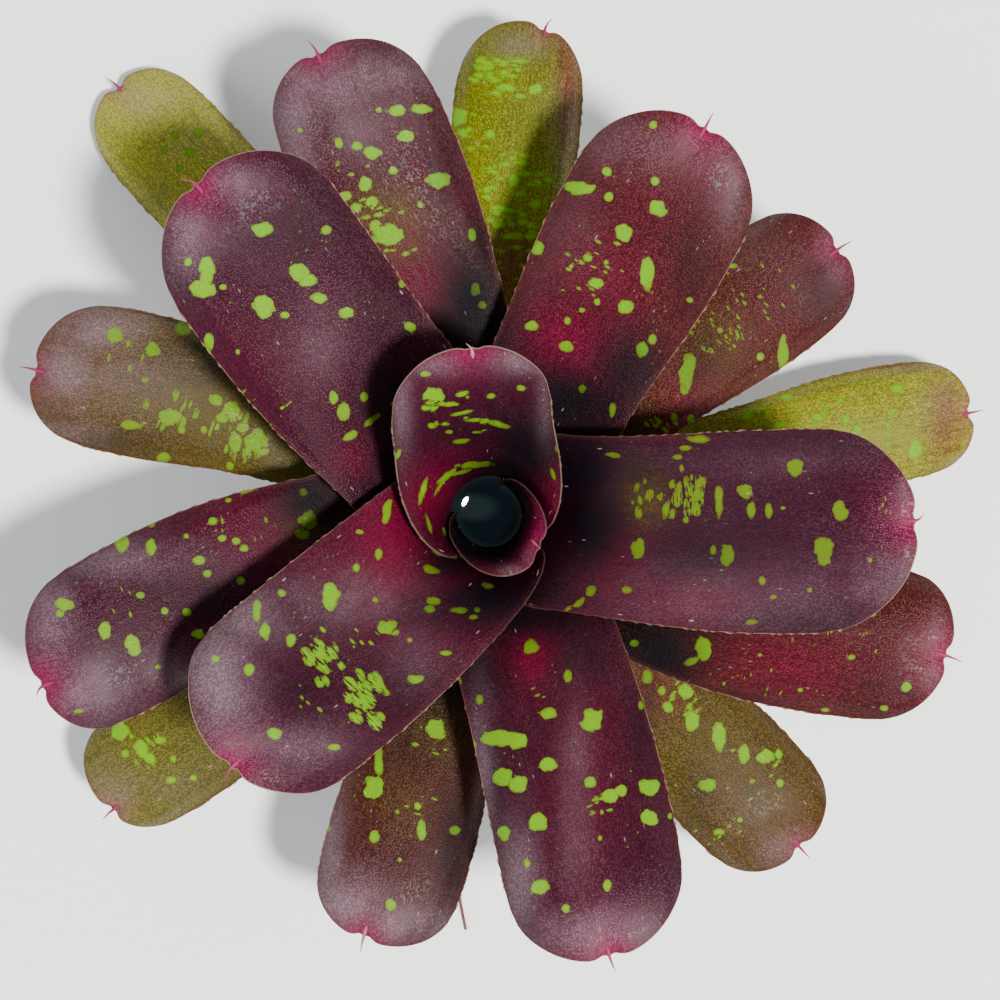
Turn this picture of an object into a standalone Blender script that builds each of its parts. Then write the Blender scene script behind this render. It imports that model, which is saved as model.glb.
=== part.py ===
"""A neoregelia bromeliad, picked whole and stood on the flat cut at the foot of its stem.

Strap leaves climb a short woody stem in one spiral, each turned from the last by about the
golden angle. Their broad sheaths wrap round one another like nested cups, so every leaf
follows its own bowl-shaped surface round the stem's axis, and the youngest hold rain water.
The origin is the middle of the cut, with +Z up the stem. Leaves are numbered from the heart
of the rosette outwards. Sizes below are in millimetres and degrees; meshes are in metres.
"""

from collections import namedtuple
import math
import random

import bmesh
import bpy
import numpy as np
from mathutils import Vector

MM = 0.001

# One row a leaf, from the heart of the rosette to the oldest leaf:
# base_turn and tip_turn are the directions of its middle line round the axis,
# reach is how far its tip stands from the axis and slope how steeply its blade rises,
# width is the blade's, and neck the share of it left where the blade leaves the sheath,
# cap is the length of the rounded end as a share of the width, and blunt its squareness,
# spine_side is how far the spine stands off the middle, as a share of the half width,
# hook is how far the spine turns to the left.
Leaf = namedtuple("Leaf", "base_turn tip_turn reach slope width neck cap blunt spine_side hook")
LEAVES = (
    Leaf(304, 308.0, 16.0, 77.0, 35, 1.00, 0.50, 2.1, 0.25, 0),
    Leaf(108, 98.5, 51.0, 58.0, 47.5, 1.14, 0.42, 2.5, -0.10, 30),
    Leaf(224, 221.2, 109.0, 36.0, 60, 0.98, 0.36, 2.2, 0.20, 35),
    Leaf(354, 357.8, 130.0, 33.0, 62, 0.92, 0.42, 2.2, 0.12, 85),
    Leaf(136, 130.5, 136.5, 31.0, 61, 0.95, 0.40, 2.3, 0.08, 55),
    Leaf(290, 285.8, 142.0, 28.5, 56, 0.96, 0.38, 2.1, -0.05, 10),
    Leaf(62, 61.5, 140.0, 26.5, 58, 0.86, 0.40, 2.2, -0.05, 0),
    Leaf(188, 198.8, 153.0, 23.5, 53, 0.84, 0.35, 2.4, 0.22, 85),
    Leaf(332, 342.5, 154.0, 21.5, 51, 0.88, 0.36, 2.3, 0.05, -10),
    Leaf(104, 108.8, 160.5, 19.5, 54, 0.84, 0.38, 2.4, 0.18, 25),
    Leaf(255, 254.6, 145.0, 17.0, 48, 0.84, 0.34, 2.3, -0.14, 5),
    Leaf(40, 38.2, 146.0, 15.0, 45, 0.80, 0.38, 2.4, -0.10, -10),
    Leaf(155, 160.8, 161.0, 12.0, 49, 0.78, 0.38, 2.3, 0.18, 10),
    Leaf(312, 312.8, 154.5, 9.5, 47, 0.76, 0.34, 2.3, 0.02, 0),
    Leaf(87, 86.0, 169.0, 7.0, 44, 0.80, 0.44, 2.1, -0.34, -45),
    Leaf(218, 216.0, 167.5, 4.0, 44, 0.76, 0.36, 2.3, 0.28, 10),
    Leaf(14, 12.6, 172.5, 1.5, 41, 0.74, 0.38, 2.3, -0.10, 0),
    Leaf(130, 131.2, 203.0, -1.0, 43, 0.95, 0.42, 2.2, -0.02, 10),
)

# The seats of the sheaths, stepping down and out along the stem from the youngest leaf.
FIRST_SEAT_RADIUS = 4.8
FIRST_SEAT_HEIGHT = 41.0
SEAT_RADIUS_STEP = 1.25
SEAT_HEIGHT_STEP = 1.95

# Sheaths stand steeply, then bend over to the blade's slope: [youngest, oldest].
SHEATH_SLOPE = (80.0, 62.0)
BEND_START = (34.0, 6.0)
BEND_END = (75.0, 46.0)
BEND_AGING = 0.8
BLADE_ARCH = 10.0 / 110.0
WRAP = {1: 130.0, 2: 126.0}
USUAL_WRAP = 105.0
WRAP_BLEND = 6
SHEATH_SPAN = (0.10, 0.40)
WIDEST_SPAN = (0.40, 0.78)
TAPER_SPAN = (0.82, 1.00)
TAPER = 0.07
TURN_SPAN = (0.25, 1.00)

# The sheet itself, and how it is shaped across and towards its end.
SHEATH_THICKNESS = 0.8
BLADE_THICKNESS = 1.2
THICKENING_SPAN = (0.20, 0.60)
CROWN = 5.5
CROWN_SPAN = (0.38, 0.72)
CROWN_POWER = 2.2
MARGIN_ROLL = 2.2
MARGIN_START = 0.74
END_DROOP = 5.0
DROOP_LENGTH = 26.0
NOTCH_DEPTH = 2.4
NOTCH_WIDTH = 0.14
PINCH_DEPTH = 1.8
PINCH_WIDTH = 0.16
PINCH_LENGTH = 16.0
WAVE_HEIGHT = 1.1
WAVE_LENGTH = 47.0

# The young leaves round the cup: how much of that shaping they have, how much of the usual
# spine, and how far and over what length the heart leaf's end rolls outwards as a lip.
YOUNG_SHAPE = {1: 0.08, 2: 0.35}
YOUNG_SPINE = {1: 0.45, 2: 0.85}
LIP = {1: (4.5, 10.0)}
NO_LIP = (0.0, 1.0)

# The grid that each sheet is bent from: lines across it and lines along it.
FINE_LINES = (-1, -0.88, -0.74, -0.59, -0.44, -0.29, -0.15, -0.04, 0.04, 0.15, 0.29, 0.44, 0.59, 0.74, 0.88, 1)
USUAL_LINES = (-1, -0.86, -0.66, -0.44, -0.22, -0.04, 0.04, 0.22, 0.44, 0.66, 0.86, 1)
ROWS = (0, 0.10, 0.19, 0.27, 0.35, 0.44, 0.54, 0.65, 0.76, 0.85, 0.92, 0.965, 1)

SPINE_LENGTH = 6.5
SPINE_STEPS = 5
SPINE_LIFT = 0.5
SPINE_TIP = 0.22
SPINE_AIM = 0.97  # how far along the leaf its end is already heading as the spine does

# The stem, below and inside the seats.
SEAT_CLEARANCE = 0.35
STEM_FOOT_RADIUS = 17.0
STEM_FOOT_STEPS = 13
STEM_CAP = 1.0
STEM_SIDES = 40
SCAR_HEIGHT = 0.45
SCAR_RINGS = (1.6, 3.2, 4.8)
SCAR_SPREAD = 0.5
ROOT_STUBS = 9
STUB_RADIUS = 1.1
STUB_END_RADIUS = 0.65
STUB_LENGTH = 6.0
STUB_SIDES = 6
# Each stub's own turn, fall, place out from the stem and height are drawn from these spans.
STUB_TURN = (-7.0, 7.0)
STUB_FALL = (2.0, 13.0)
STUB_REACH = (0.0, 2.0)
STUB_HEIGHT = (2.6, 3.6)

# The water in the cup.
WATER_LEVEL = 76.0
WATER_FOOT = 46.0
WATER_CLEARANCE = 0.7
WATER_RINGS = 7
WATER_SIDES = 32
MENISCUS = 0.5
MENISCUS_WIDTH = 2.0

# The root that lies on the surface, as a hand-drawn path from the stem outwards.
ROOT_PATH = ((-6.0, -19.0), (-9.0, -34.0), (-5.5, -52.0), (-9.5, -74.0), (-14.0, -95.0), (-12.0, -116.0),
             (-11.5, -133.0), (-8.8, -148.0))
ROOT_RADII = (0.95, 0.5)
ROOT_SIDES = 8
ROOT_CLEARANCE = 0.35
ROOT_STEP = 3.0

PROFILE_POINTS = 900
PROFILE_LENGTH = 270.0
MERGE_DISTANCE = 0.01

PLUM = (0.095, 0.022, 0.045)
DEEP_RED = (0.20, 0.020, 0.035)
OLIVE = (0.16, 0.14, 0.035)
LIME = (0.30, 0.30, 0.04)
LEAF_COLOURS = {9: DEEP_RED, 12: DEEP_RED, 13: OLIVE, 14: OLIVE, 15: LIME, 16: OLIVE, 17: LIME, 18: OLIVE}
LEAF_ROUGHNESS = 0.42
STEM_COLOUR = (0.13, 0.085, 0.05)
ROOT_COLOUR = (0.16, 0.06, 0.035)
WATER_COLOUR = (0.008, 0.02, 0.02)
BARK_ROUGHNESS = 0.85
WATER_ROUGHNESS = 0.05


def lerp(start, end, share):
    return start + (end - start) * share


def smooth(value):
    value = np.clip(value, 0.0, 1.0)
    return value * value * (3.0 - 2.0 * value)


def ramp(value, span):
    return smooth((value - span[0]) / (span[1] - span[0]))


def seat(order):
    """Radius and height of the foot of a leaf's sheath."""
    step = order - 1
    return FIRST_SEAT_RADIUS + SEAT_RADIUS_STEP * step, FIRST_SEAT_HEIGHT - SEAT_HEIGHT_STEP * step


def profile(order):
    """Distance along a leaf's middle line, with its radius, height and slope there."""
    leaf = LEAVES[order - 1]
    age = (order - 1) / (len(LEAVES) - 1)
    distance = np.linspace(0.0, PROFILE_LENGTH, PROFILE_POINTS)
    sheath = lerp(*SHEATH_SLOPE, age)
    start = lerp(*BEND_START, age ** BEND_AGING)
    end = lerp(*BEND_END, age ** BEND_AGING)
    slope = sheath + (leaf.slope - sheath) * smooth((distance - start) / (end - start))
    slope = np.radians(slope - BLADE_ARCH * np.clip(distance - end, 0.0, None))
    middle = (slope[1:] + slope[:-1]) / 2.0
    step = distance[1] - distance[0]
    foot_radius, foot_height = seat(order)
    radius = foot_radius + np.concatenate([[0.0], np.cumsum(np.cos(middle)) * step])
    height = foot_height + np.concatenate([[0.0], np.cumsum(np.sin(middle)) * step])
    return distance, radius, height, slope


def half_turn(order, share, radius):
    """How far round the axis the sheet reaches to each side, in radians.

    A flat strap of half width h at a radius r reaches about asin(h / r), taken here as three
    terms of a series; nearer the axis the sheath wraps no further than its limit.
    """
    leaf = LEAVES[order - 1]
    full = leaf.width / 2.0
    neck = full * leaf.neck
    sheath = lerp(full, neck, ramp(share, SHEATH_SPAN))
    blade = lerp(neck, full, ramp(share, WIDEST_SPAN)) * (1.0 - TAPER * ramp(share, TAPER_SPAN))
    chord = np.where(share < SHEATH_SPAN[1], sheath, blade) / radius
    flat = chord + chord ** 3 / 6.0 + chord ** 5 / 10.0
    limit = math.radians(WRAP.get(order, USUAL_WRAP))
    return (flat ** -WRAP_BLEND + limit ** -WRAP_BLEND) ** (-1.0 / WRAP_BLEND)


def end_distance(leaf, length, across):
    """How far along the leaf its outline reaches, at a line across it."""
    cap = leaf.cap * leaf.width
    round_end = cap * (1.0 - np.abs(across) ** leaf.blunt) ** (1.0 / leaf.blunt)
    notch = NOTCH_DEPTH * np.exp(-((across - leaf.spine_side) / NOTCH_WIDTH) ** 2)
    return length - cap + round_end - notch


def relief(order, leaf, length, distance, across):
    """How far the sheet stands above its bowl-shaped surface: crown, margins, end and spine."""
    share = distance / length
    shape = YOUNG_SHAPE.get(order, 1.0)
    crown = CROWN * np.abs(across) ** CROWN_POWER * ramp(share, CROWN_SPAN)
    margin = MARGIN_ROLL * ramp(np.abs(across), (MARGIN_START, 1.0)) * ramp(share, CROWN_SPAN)
    droop = END_DROOP * np.clip((distance - length + DROOP_LENGTH) / DROOP_LENGTH, 0.0, None) ** 2
    past = np.clip(1.0 - (length - distance) / PINCH_LENGTH, 0.0, 1.0)
    pinch = PINCH_DEPTH * past * np.exp(-((across - leaf.spine_side) / PINCH_WIDTH) ** 2)
    age = (order - 1) / (len(LEAVES) - 1)
    wave = WAVE_HEIGHT * age * across * np.abs(across) * np.sin(distance / WAVE_LENGTH * math.tau + order)
    lip, lip_length = LIP.get(order, NO_LIP)
    lip = lip * np.clip((distance - length + lip_length) / lip_length, 0.0, None) ** 2
    return wave * ramp(share, CROWN_SPAN) - shape * (crown + margin + droop + pinch) - lip


def leaf_points(order, line, share_along, side):
    """Points of a leaf's sheet in metres: side is 1 on its upper face and -1 on its lower."""
    leaf = LEAVES[order - 1]
    distances, radii, heights, slopes = profile(order)
    length = np.interp(leaf.reach, radii, distances)
    across = line + leaf.spine_side * (1.0 - line * line) * smooth(share_along)
    distance = share_along * end_distance(leaf, length, across)
    share = distance / length
    radius = np.interp(distance, distances, radii)
    height = np.interp(distance, distances, heights)
    slope = np.interp(distance, distances, slopes)
    base_turn = math.radians(leaf.base_turn)
    turn = base_turn + math.radians(leaf.tip_turn - leaf.base_turn) * ramp(share, TURN_SPAN)
    turn = turn + across * half_turn(order, share, radius)
    thickness = lerp(SHEATH_THICKNESS, BLADE_THICKNESS, ramp(share, THICKENING_SPAN))
    lift = relief(order, leaf, length, distance, across) + side * thickness / 2.0
    radius = radius - np.sin(slope) * lift
    height = height + np.cos(slope) * lift
    return np.stack([radius * np.cos(turn), radius * np.sin(turn), height], -1) * MM


def make_object(name, bm, colour, roughness):
    """Close a bmesh into a named object with a material of its own."""
    bmesh.ops.recalc_face_normals(bm, faces=bm.faces)
    mesh = bpy.data.meshes.new(name)
    bm.to_mesh(mesh)
    bm.free()
    mesh.shade_smooth()
    material = bpy.data.materials.new(name + "_surface")
    material.use_nodes = True
    surface = material.node_tree.nodes["Principled BSDF"]
    surface.inputs["Base Color"].default_value = (*colour, 1.0)
    surface.inputs["Roughness"].default_value = roughness
    surface.inputs["Metallic"].default_value = 0.0
    mesh.materials.append(material)
    piece = bpy.data.objects.new(name, mesh)
    bpy.context.scene.collection.objects.link(piece)
    return piece


def grow_spine(bm, root, heading, side, up, hook, length):
    """Draw the leaf's end wall out into a thin curved spine that turns by hook."""
    step_length = length * MM / SPINE_STEPS
    face = root
    width = 1.0
    for step in range(1, SPINE_STEPS + 1):
        share = step / SPINE_STEPS
        turn = math.radians(hook) * share
        course = heading * math.cos(turn) + side * math.sin(turn) + up * SPINE_LIFT * share
        face = bmesh.ops.extrude_discrete_faces(bm, faces=[face])["faces"][0]
        middle = face.calc_center_median() + course.normalized() * step_length
        next_width = lerp(1.0, SPINE_TIP, share)
        shift = middle - face.calc_center_median()
        for vert in face.verts:
            vert.co = middle + (vert.co + shift - middle) * next_width / width
        width = next_width


def build_leaf(order):
    """One leaf: a flat grid thickened to a slab, then bent to the leaf's surface."""
    leaf = LEAVES[order - 1]
    lines = FINE_LINES if order in WRAP else USUAL_LINES
    bm = bmesh.new()
    bmesh.ops.create_grid(bm, x_segments=len(lines) - 1, y_segments=len(ROWS) - 1, size=1.0)
    bmesh.ops.triangulate(bm, faces=bm.faces)
    upper = bmesh.ops.extrude_face_region(bm, geom=bm.faces[:])["geom"]
    for vert in (element for element in upper if isinstance(element, bmesh.types.BMVert)):
        vert.co.z = 1.0
    across = np.array([lines[round((vert.co.x + 1.0) / 2.0 * (len(lines) - 1))] for vert in bm.verts])
    along = np.array([ROWS[round((vert.co.y + 1.0) / 2.0 * (len(ROWS) - 1))] for vert in bm.verts])
    side = np.array([2.0 * vert.co.z - 1.0 for vert in bm.verts])
    middle = max(line for line in lines if line < 0)
    flat = dict(zip(bm.verts, zip(across, along)))
    spine_root = next(face for face in bm.faces
                      if all(flat[vert][1] == 1.0 and abs(flat[vert][0]) <= abs(middle) for vert in face.verts))
    for vert, point in zip(bm.verts, leaf_points(order, across, along, side)):
        vert.co = point
    edge = leaf_points(order, np.array([0.0, 0.0, middle, -middle]), np.array([1.0, SPINE_AIM, 1.0, 1.0]), np.zeros(4))
    heading = Vector(edge[0] - edge[1]).normalized()
    sideways = Vector(edge[3] - edge[2]).normalized()
    length = SPINE_LENGTH * YOUNG_SPINE.get(order, 1.0)
    grow_spine(bm, spine_root, heading, sideways, heading.cross(sideways), leaf.hook, length)
    bmesh.ops.triangulate(bm, faces=bm.faces)
    return make_object(f"leaf_{order:02d}", bm, LEAF_COLOURS.get(order, PLUM), LEAF_ROUGHNESS)


def turn_profile(outline, sides):
    """Spin a (radius, height) outline that starts and ends on the axis into a closed solid."""
    bm = bmesh.new()
    verts = [bm.verts.new((radius * MM, 0.0, height * MM)) for radius, height in outline]
    edges = [bm.edges.new(pair) for pair in zip(verts, verts[1:])]
    bmesh.ops.spin(bm, geom=verts + edges, cent=(0, 0, 0), axis=(0, 0, 1), angle=math.tau, steps=sides,
                   use_merge=True)
    bmesh.ops.remove_doubles(bm, verts=bm.verts, dist=MERGE_DISTANCE * MM)
    bmesh.ops.triangulate(bm, faces=bm.faces)
    return bm


def scar_relief(height):
    """How far the rings left by shed leaves stand out at a height on the stem's foot."""
    return SCAR_HEIGHT * sum(math.exp(-((height - ring) / SCAR_SPREAD) ** 2) for ring in SCAR_RINGS)


def stem_outline():
    """The stem from its flat cut, out over the scars, then up the cone that the sheaths stand on."""
    slope = math.atan2(SEAT_HEIGHT_STEP, SEAT_RADIUS_STEP)
    inset = (SHEATH_THICKNESS / 2.0 + SEAT_CLEARANCE) / math.sin(slope)
    outline = [(0.0, 0.0), (STEM_FOOT_RADIUS, 0.0)]
    last_radius, last_height = seat(len(LEAVES))
    shoulder = last_height - SEAT_HEIGHT_STEP / 2.0
    for index in range(1, STEM_FOOT_STEPS):
        height = shoulder * index / STEM_FOOT_STEPS
        swell = smooth(height / shoulder)
        outline.append((lerp(STEM_FOOT_RADIUS, last_radius - inset, swell) + scar_relief(height), height))
    for order in range(len(LEAVES), 0, -2):
        radius, height = seat(order)
        outline.append((radius - inset, height))
    outline.append((FIRST_SEAT_RADIUS - inset, FIRST_SEAT_HEIGHT))
    outline.append((0.0, FIRST_SEAT_HEIGHT + STEM_CAP))
    return outline


def root_stub(index):
    """One trimmed root, a short tapered peg that slopes down and out of the stem's foot.

    The stubs are spaced evenly from the loose root, which leaves midway between two of them.
    """
    draw = random.Random(index)
    root_turn = math.atan2(ROOT_PATH[0][1], ROOT_PATH[0][0])
    turn = root_turn + math.tau * (index + 0.5) / ROOT_STUBS + math.radians(draw.uniform(*STUB_TURN))
    fall = math.radians(draw.uniform(*STUB_FALL))
    reach = STEM_FOOT_RADIUS + draw.uniform(*STUB_REACH)
    bm = bmesh.new()
    bmesh.ops.create_cone(bm, cap_ends=True, segments=STUB_SIDES, radius1=STUB_RADIUS * MM,
                          radius2=STUB_END_RADIUS * MM, depth=STUB_LENGTH * MM)
    outward = Vector((math.cos(turn), math.sin(turn), -math.tan(fall)))
    bmesh.ops.rotate(bm, verts=bm.verts, cent=(0, 0, 0), matrix=outward.to_track_quat("Z", "Y").to_matrix())
    place = Vector((reach * math.cos(turn), reach * math.sin(turn), draw.uniform(*STUB_HEIGHT)))
    bmesh.ops.translate(bm, verts=bm.verts, vec=place * MM)
    return make_object(f"root_stub_{index}", bm, STEM_COLOUR, BARK_ROUGHNESS)


def build_stem():
    """The short woody stem with the trimmed roots joined to it."""
    stem = make_object("stem", turn_profile(stem_outline(), STEM_SIDES), STEM_COLOUR, BARK_ROUGHNESS)
    stubs = bpy.data.collections.new("root_stubs")
    for index in range(ROOT_STUBS):
        stub = root_stub(index)
        stubs.objects.link(stub)
    union = stem.modifiers.new("join_stubs", "BOOLEAN")
    union.operation = "UNION"
    union.operand_type = "COLLECTION"
    union.collection = stubs
    union.solver = "EXACT"
    joined = bpy.data.meshes.new_from_object(stem.evaluated_get(bpy.context.evaluated_depsgraph_get()))
    stem.modifiers.clear()
    stem.data = joined
    joined.name = "stem"
    for stub in list(stubs.objects):
        bpy.data.objects.remove(stub)
    bpy.data.collections.remove(stubs)
    return stem


def build_water():
    """The rain water, filling the youngest leaf's tube up to a slightly raised rim."""
    _, radii, heights, _ = profile(1)
    outline = [(0.0, WATER_FOOT)]
    for height in np.linspace(WATER_FOOT, WATER_LEVEL, WATER_RINGS):
        inner = np.interp(height, heights, radii) - SHEATH_THICKNESS / 2.0 - WATER_CLEARANCE
        outline.append((inner, height))
    outline.append((outline[-1][0] - MENISCUS_WIDTH, WATER_LEVEL - MENISCUS))
    outline.append((0.0, WATER_LEVEL - MENISCUS))
    return make_object("tank_water", turn_profile(outline, WATER_SIDES), WATER_COLOUR, WATER_ROUGHNESS)


def smooth_path(points, step):
    """Points at about even steps along one smooth curve through the path's own points."""
    points = np.array(points)
    padded = np.vstack([2 * points[0] - points[1], points, 2 * points[-1] - points[-2]])
    path = []
    for before, start, end, after in zip(padded, padded[1:], padded[2:], padded[3:]):
        count = max(2, round(np.linalg.norm(end - start) / step))
        for share in np.arange(count) / count:
            path.append(0.5 * (2 * start + (end - before) * share
                               + (2 * before - 5 * start + 4 * end - after) * share ** 2
                               + (3 * start - before - 3 * end + after) * share ** 3))
    path.append(points[-1])
    return path


def build_root():
    """The loose root, a thin tapering tube along its path on the surface."""
    path = smooth_path(ROOT_PATH, ROOT_STEP)
    curve = bpy.data.curves.new("trailing_root", "CURVE")
    curve.dimensions = "3D"
    curve.bevel_depth = ROOT_RADII[0] * MM
    curve.bevel_resolution = ROOT_SIDES // 4
    curve.use_fill_caps = True
    spline = curve.splines.new("POLY")
    spline.points.add(len(path) - 1)
    for index, (point, place) in enumerate(zip(spline.points, path)):
        share = index / (len(path) - 1)
        radius = lerp(*ROOT_RADII, share)
        point.co = (place[0] * MM, place[1] * MM, (radius + ROOT_CLEARANCE) * MM, 1.0)
        point.radius = radius / ROOT_RADII[0]
    tube = bpy.data.objects.new("root_curve", curve)
    bpy.context.scene.collection.objects.link(tube)
    bm = bmesh.new()
    bm.from_mesh(bpy.data.meshes.new_from_object(tube.evaluated_get(bpy.context.evaluated_depsgraph_get())))
    bpy.data.objects.remove(tube)
    bmesh.ops.remove_doubles(bm, verts=bm.verts, dist=MERGE_DISTANCE * MM)
    bmesh.ops.triangulate(bm, faces=bm.faces)
    return make_object("trailing_root", bm, ROOT_COLOUR, BARK_ROUGHNESS)


def main():
    for old in list(bpy.data.objects):
        bpy.data.objects.remove(old)
    for order in range(1, len(LEAVES) + 1):
        build_leaf(order)
    build_stem()
    build_water()
    build_root()


main()
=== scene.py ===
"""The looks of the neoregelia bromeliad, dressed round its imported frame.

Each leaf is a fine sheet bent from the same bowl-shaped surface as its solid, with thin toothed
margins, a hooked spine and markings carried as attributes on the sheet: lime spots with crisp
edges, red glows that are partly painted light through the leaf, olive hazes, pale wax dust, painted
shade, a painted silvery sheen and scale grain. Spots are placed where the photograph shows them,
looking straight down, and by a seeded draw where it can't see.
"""

from collections import namedtuple
import math
import random

import bmesh
import bpy
from mathutils import Matrix, Vector
import numpy as np


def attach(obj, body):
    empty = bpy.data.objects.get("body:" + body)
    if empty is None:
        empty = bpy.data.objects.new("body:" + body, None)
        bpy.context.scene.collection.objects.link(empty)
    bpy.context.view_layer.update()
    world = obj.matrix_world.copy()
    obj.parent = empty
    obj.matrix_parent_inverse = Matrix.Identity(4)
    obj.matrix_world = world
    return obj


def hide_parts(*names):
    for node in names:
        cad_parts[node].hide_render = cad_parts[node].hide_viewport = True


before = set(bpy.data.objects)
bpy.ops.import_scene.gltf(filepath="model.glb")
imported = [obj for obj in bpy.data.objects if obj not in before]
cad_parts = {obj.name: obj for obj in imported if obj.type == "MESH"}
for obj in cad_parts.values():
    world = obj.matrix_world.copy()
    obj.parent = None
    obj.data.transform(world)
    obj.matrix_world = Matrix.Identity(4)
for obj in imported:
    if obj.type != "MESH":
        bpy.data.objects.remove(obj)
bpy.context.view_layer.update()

MM = 0.001
RIGHT_ANGLE = 90.0

# The photograph's camera, straight above: height and place in millimetres, and pixels.
CAMERA_HEIGHT = 1000.0
CAMERA_X = 3.35
CAMERA_Y = 5.0
PHOTO_MIDDLE = 500.0
PHOTO_SCALE = 2805.97
PIXELS_PER_MM = 3.0
SENSOR_WIDTH = 36.0
PHOTO_WIDTH = 1000.0

# One row a leaf, from the heart outwards, as the solids have it: directions of its middle
# line at base and tip, reach, slope, width, neck, cap, bluntness, side of the spine, hook.
Leaf = namedtuple("Leaf", "base_turn tip_turn reach slope width neck cap blunt spine_side hook")
LEAVES = (
    Leaf(304, 308.0, 16.0, 77.0, 35, 1.00, 0.50, 2.1, 0.25, 0),
    Leaf(108, 98.5, 51.0, 58.0, 47.5, 1.14, 0.42, 2.5, -0.10, 30),
    Leaf(224, 221.2, 109.0, 36.0, 60, 0.98, 0.36, 2.2, 0.20, 35),
    Leaf(354, 357.8, 130.0, 33.0, 62, 0.92, 0.42, 2.2, 0.12, 85),
    Leaf(136, 130.5, 136.5, 31.0, 61, 0.95, 0.40, 2.3, 0.08, 55),
    Leaf(290, 285.8, 142.0, 28.5, 56, 0.96, 0.38, 2.1, -0.05, 10),
    Leaf(62, 61.5, 140.0, 26.5, 58, 0.86, 0.40, 2.2, -0.05, 0),
    Leaf(188, 198.8, 153.0, 23.5, 53, 0.84, 0.35, 2.4, 0.22, 85),
    Leaf(332, 342.5, 154.0, 21.5, 51, 0.88, 0.36, 2.3, 0.05, -10),
    Leaf(104, 108.8, 160.5, 19.5, 54, 0.84, 0.38, 2.4, 0.18, 25),
    Leaf(255, 254.6, 145.0, 17.0, 48, 0.84, 0.34, 2.3, -0.14, 5),
    Leaf(40, 38.2, 146.0, 15.0, 45, 0.80, 0.38, 2.4, -0.10, -10),
    Leaf(155, 160.8, 161.0, 12.0, 49, 0.78, 0.38, 2.3, 0.18, 10),
    Leaf(312, 312.8, 154.5, 9.5, 47, 0.76, 0.34, 2.3, 0.02, 0),
    Leaf(87, 86.0, 169.0, 7.0, 44, 0.80, 0.44, 2.1, -0.34, -45),
    Leaf(218, 216.0, 167.5, 4.0, 44, 0.76, 0.36, 2.3, 0.28, 10),
    Leaf(14, 12.6, 172.5, 1.5, 41, 0.74, 0.38, 2.3, -0.10, 0),
    Leaf(130, 131.2, 203.0, -1.0, 43, 0.95, 0.42, 2.2, -0.02, 10),
)
FIRST_SEAT_RADIUS = 4.8
FIRST_SEAT_HEIGHT = 41.0
SEAT_RADIUS_STEP = 1.25
SEAT_HEIGHT_STEP = 1.95
SHEATH_SLOPE = (80.0, 62.0)
BEND_START = (34.0, 6.0)
BEND_END = (75.0, 46.0)
BEND_AGING = 0.8
BLADE_ARCH = 10.0 / 110.0
WRAP = {1: 130.0, 2: 126.0}
USUAL_WRAP = 105.0
WRAP_BLEND = 6
ARC_DIVISORS = (6.0, 10.0)
SHEATH_SPAN = (0.10, 0.40)
WIDEST_SPAN = (0.40, 0.78)
TAPER_SPAN = (0.82, 1.00)
TAPER = 0.07
TURN_SPAN = (0.25, 1.00)
SHEATH_THICKNESS = 0.8
BLADE_THICKNESS = 1.2
MARGIN_THICKNESS = 0.4
MARGIN_WIDTH = 4.0
THICKENING_SPAN = (0.20, 0.60)
CROWN = 5.5
CROWN_SPAN = (0.38, 0.72)
CROWN_POWER = 2.2
MARGIN_ROLL = 2.2
MARGIN_START = 0.74
END_DROOP = 5.0
DROOP_LENGTH = 26.0
NOTCH_DEPTH = 2.4
NOTCH_WIDTH = 0.14
POINT_LENGTH = 1.3
POINT_WIDTH = 0.045
PINCH_DEPTH = 1.8
PINCH_WIDTH = 0.16
PINCH_LENGTH = 16.0
WAVE_HEIGHT = 1.1
WAVE_LENGTH = 47.0
YOUNG_SHAPE = {1: 0.08, 2: 0.35}
YOUNG_SPINE = {1: 0.45, 2: 0.85}
LIP = {1: (4.5, 10.0)}
NO_LIP = (0.0, 1.0)
PROFILE_POINTS = 900
PROFILE_LENGTH = 270.0

# The fine sheet: its lines across and rows along, and the teeth of its margin.
SHEET_LINES = 60
SHEET_ROWS = 132
LINE_CROWDING = 0.22
ROW_CROWDING = 0.18
MARGIN_LINE = 0.999
TOOTH_EVERY = 4
TOOTH_LENGTH = 0.38
TOOTH_SPAN = (0.22, 0.995)
FAR_FROM_RIM = 9.0
SMOOTH_ANGLE = 60.0

# The spine, and the lines and shares of the sheet round its foot that give its heading.
SPINE_LENGTH = 6.0
SPINE_SIDES = 8
SPINE_STEPS = 16
SPINE_RADIUS = 1.15
SPINE_FLATNESS = 0.62
SPINE_ROOT = 3.8
SPINE_RIDGE = 0.45
SPINE_LIFT = 0.3
SPINE_BEND = (0.35, 1.0)
SPINE_TAPER = 0.62
SPINE_TIP = 0.10
SPINE_SWELL = (0.0, 0.36)
FOOT_LINES = (0.0, 0.0, -0.03, 0.03)
FOOT_SHARES = (1.0, 0.97, 1.0, 1.0)

# Pigments, as linear colour.
# Blue-black: the leaves' own dark pigment, and also the colour of the painted shade.
INK_AND_SHADE = (0.0011, 0.0006, 0.0021)
PLUM = (0.0275, 0.0030, 0.0110)
VIOLET = (0.0270, 0.0068, 0.0160)
WINE = (0.0500, 0.0012, 0.0125)
RUBY = (0.1150, 0.0010, 0.0200)
MAHOGANY = (0.0460, 0.0075, 0.0050)
OLIVE = (0.0700, 0.0560, 0.0040)
MOSS = (0.0480, 0.0480, 0.0040)
GRASS = (0.1100, 0.1150, 0.0100)
CITRON = (0.1500, 0.1900, 0.0008)
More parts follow.
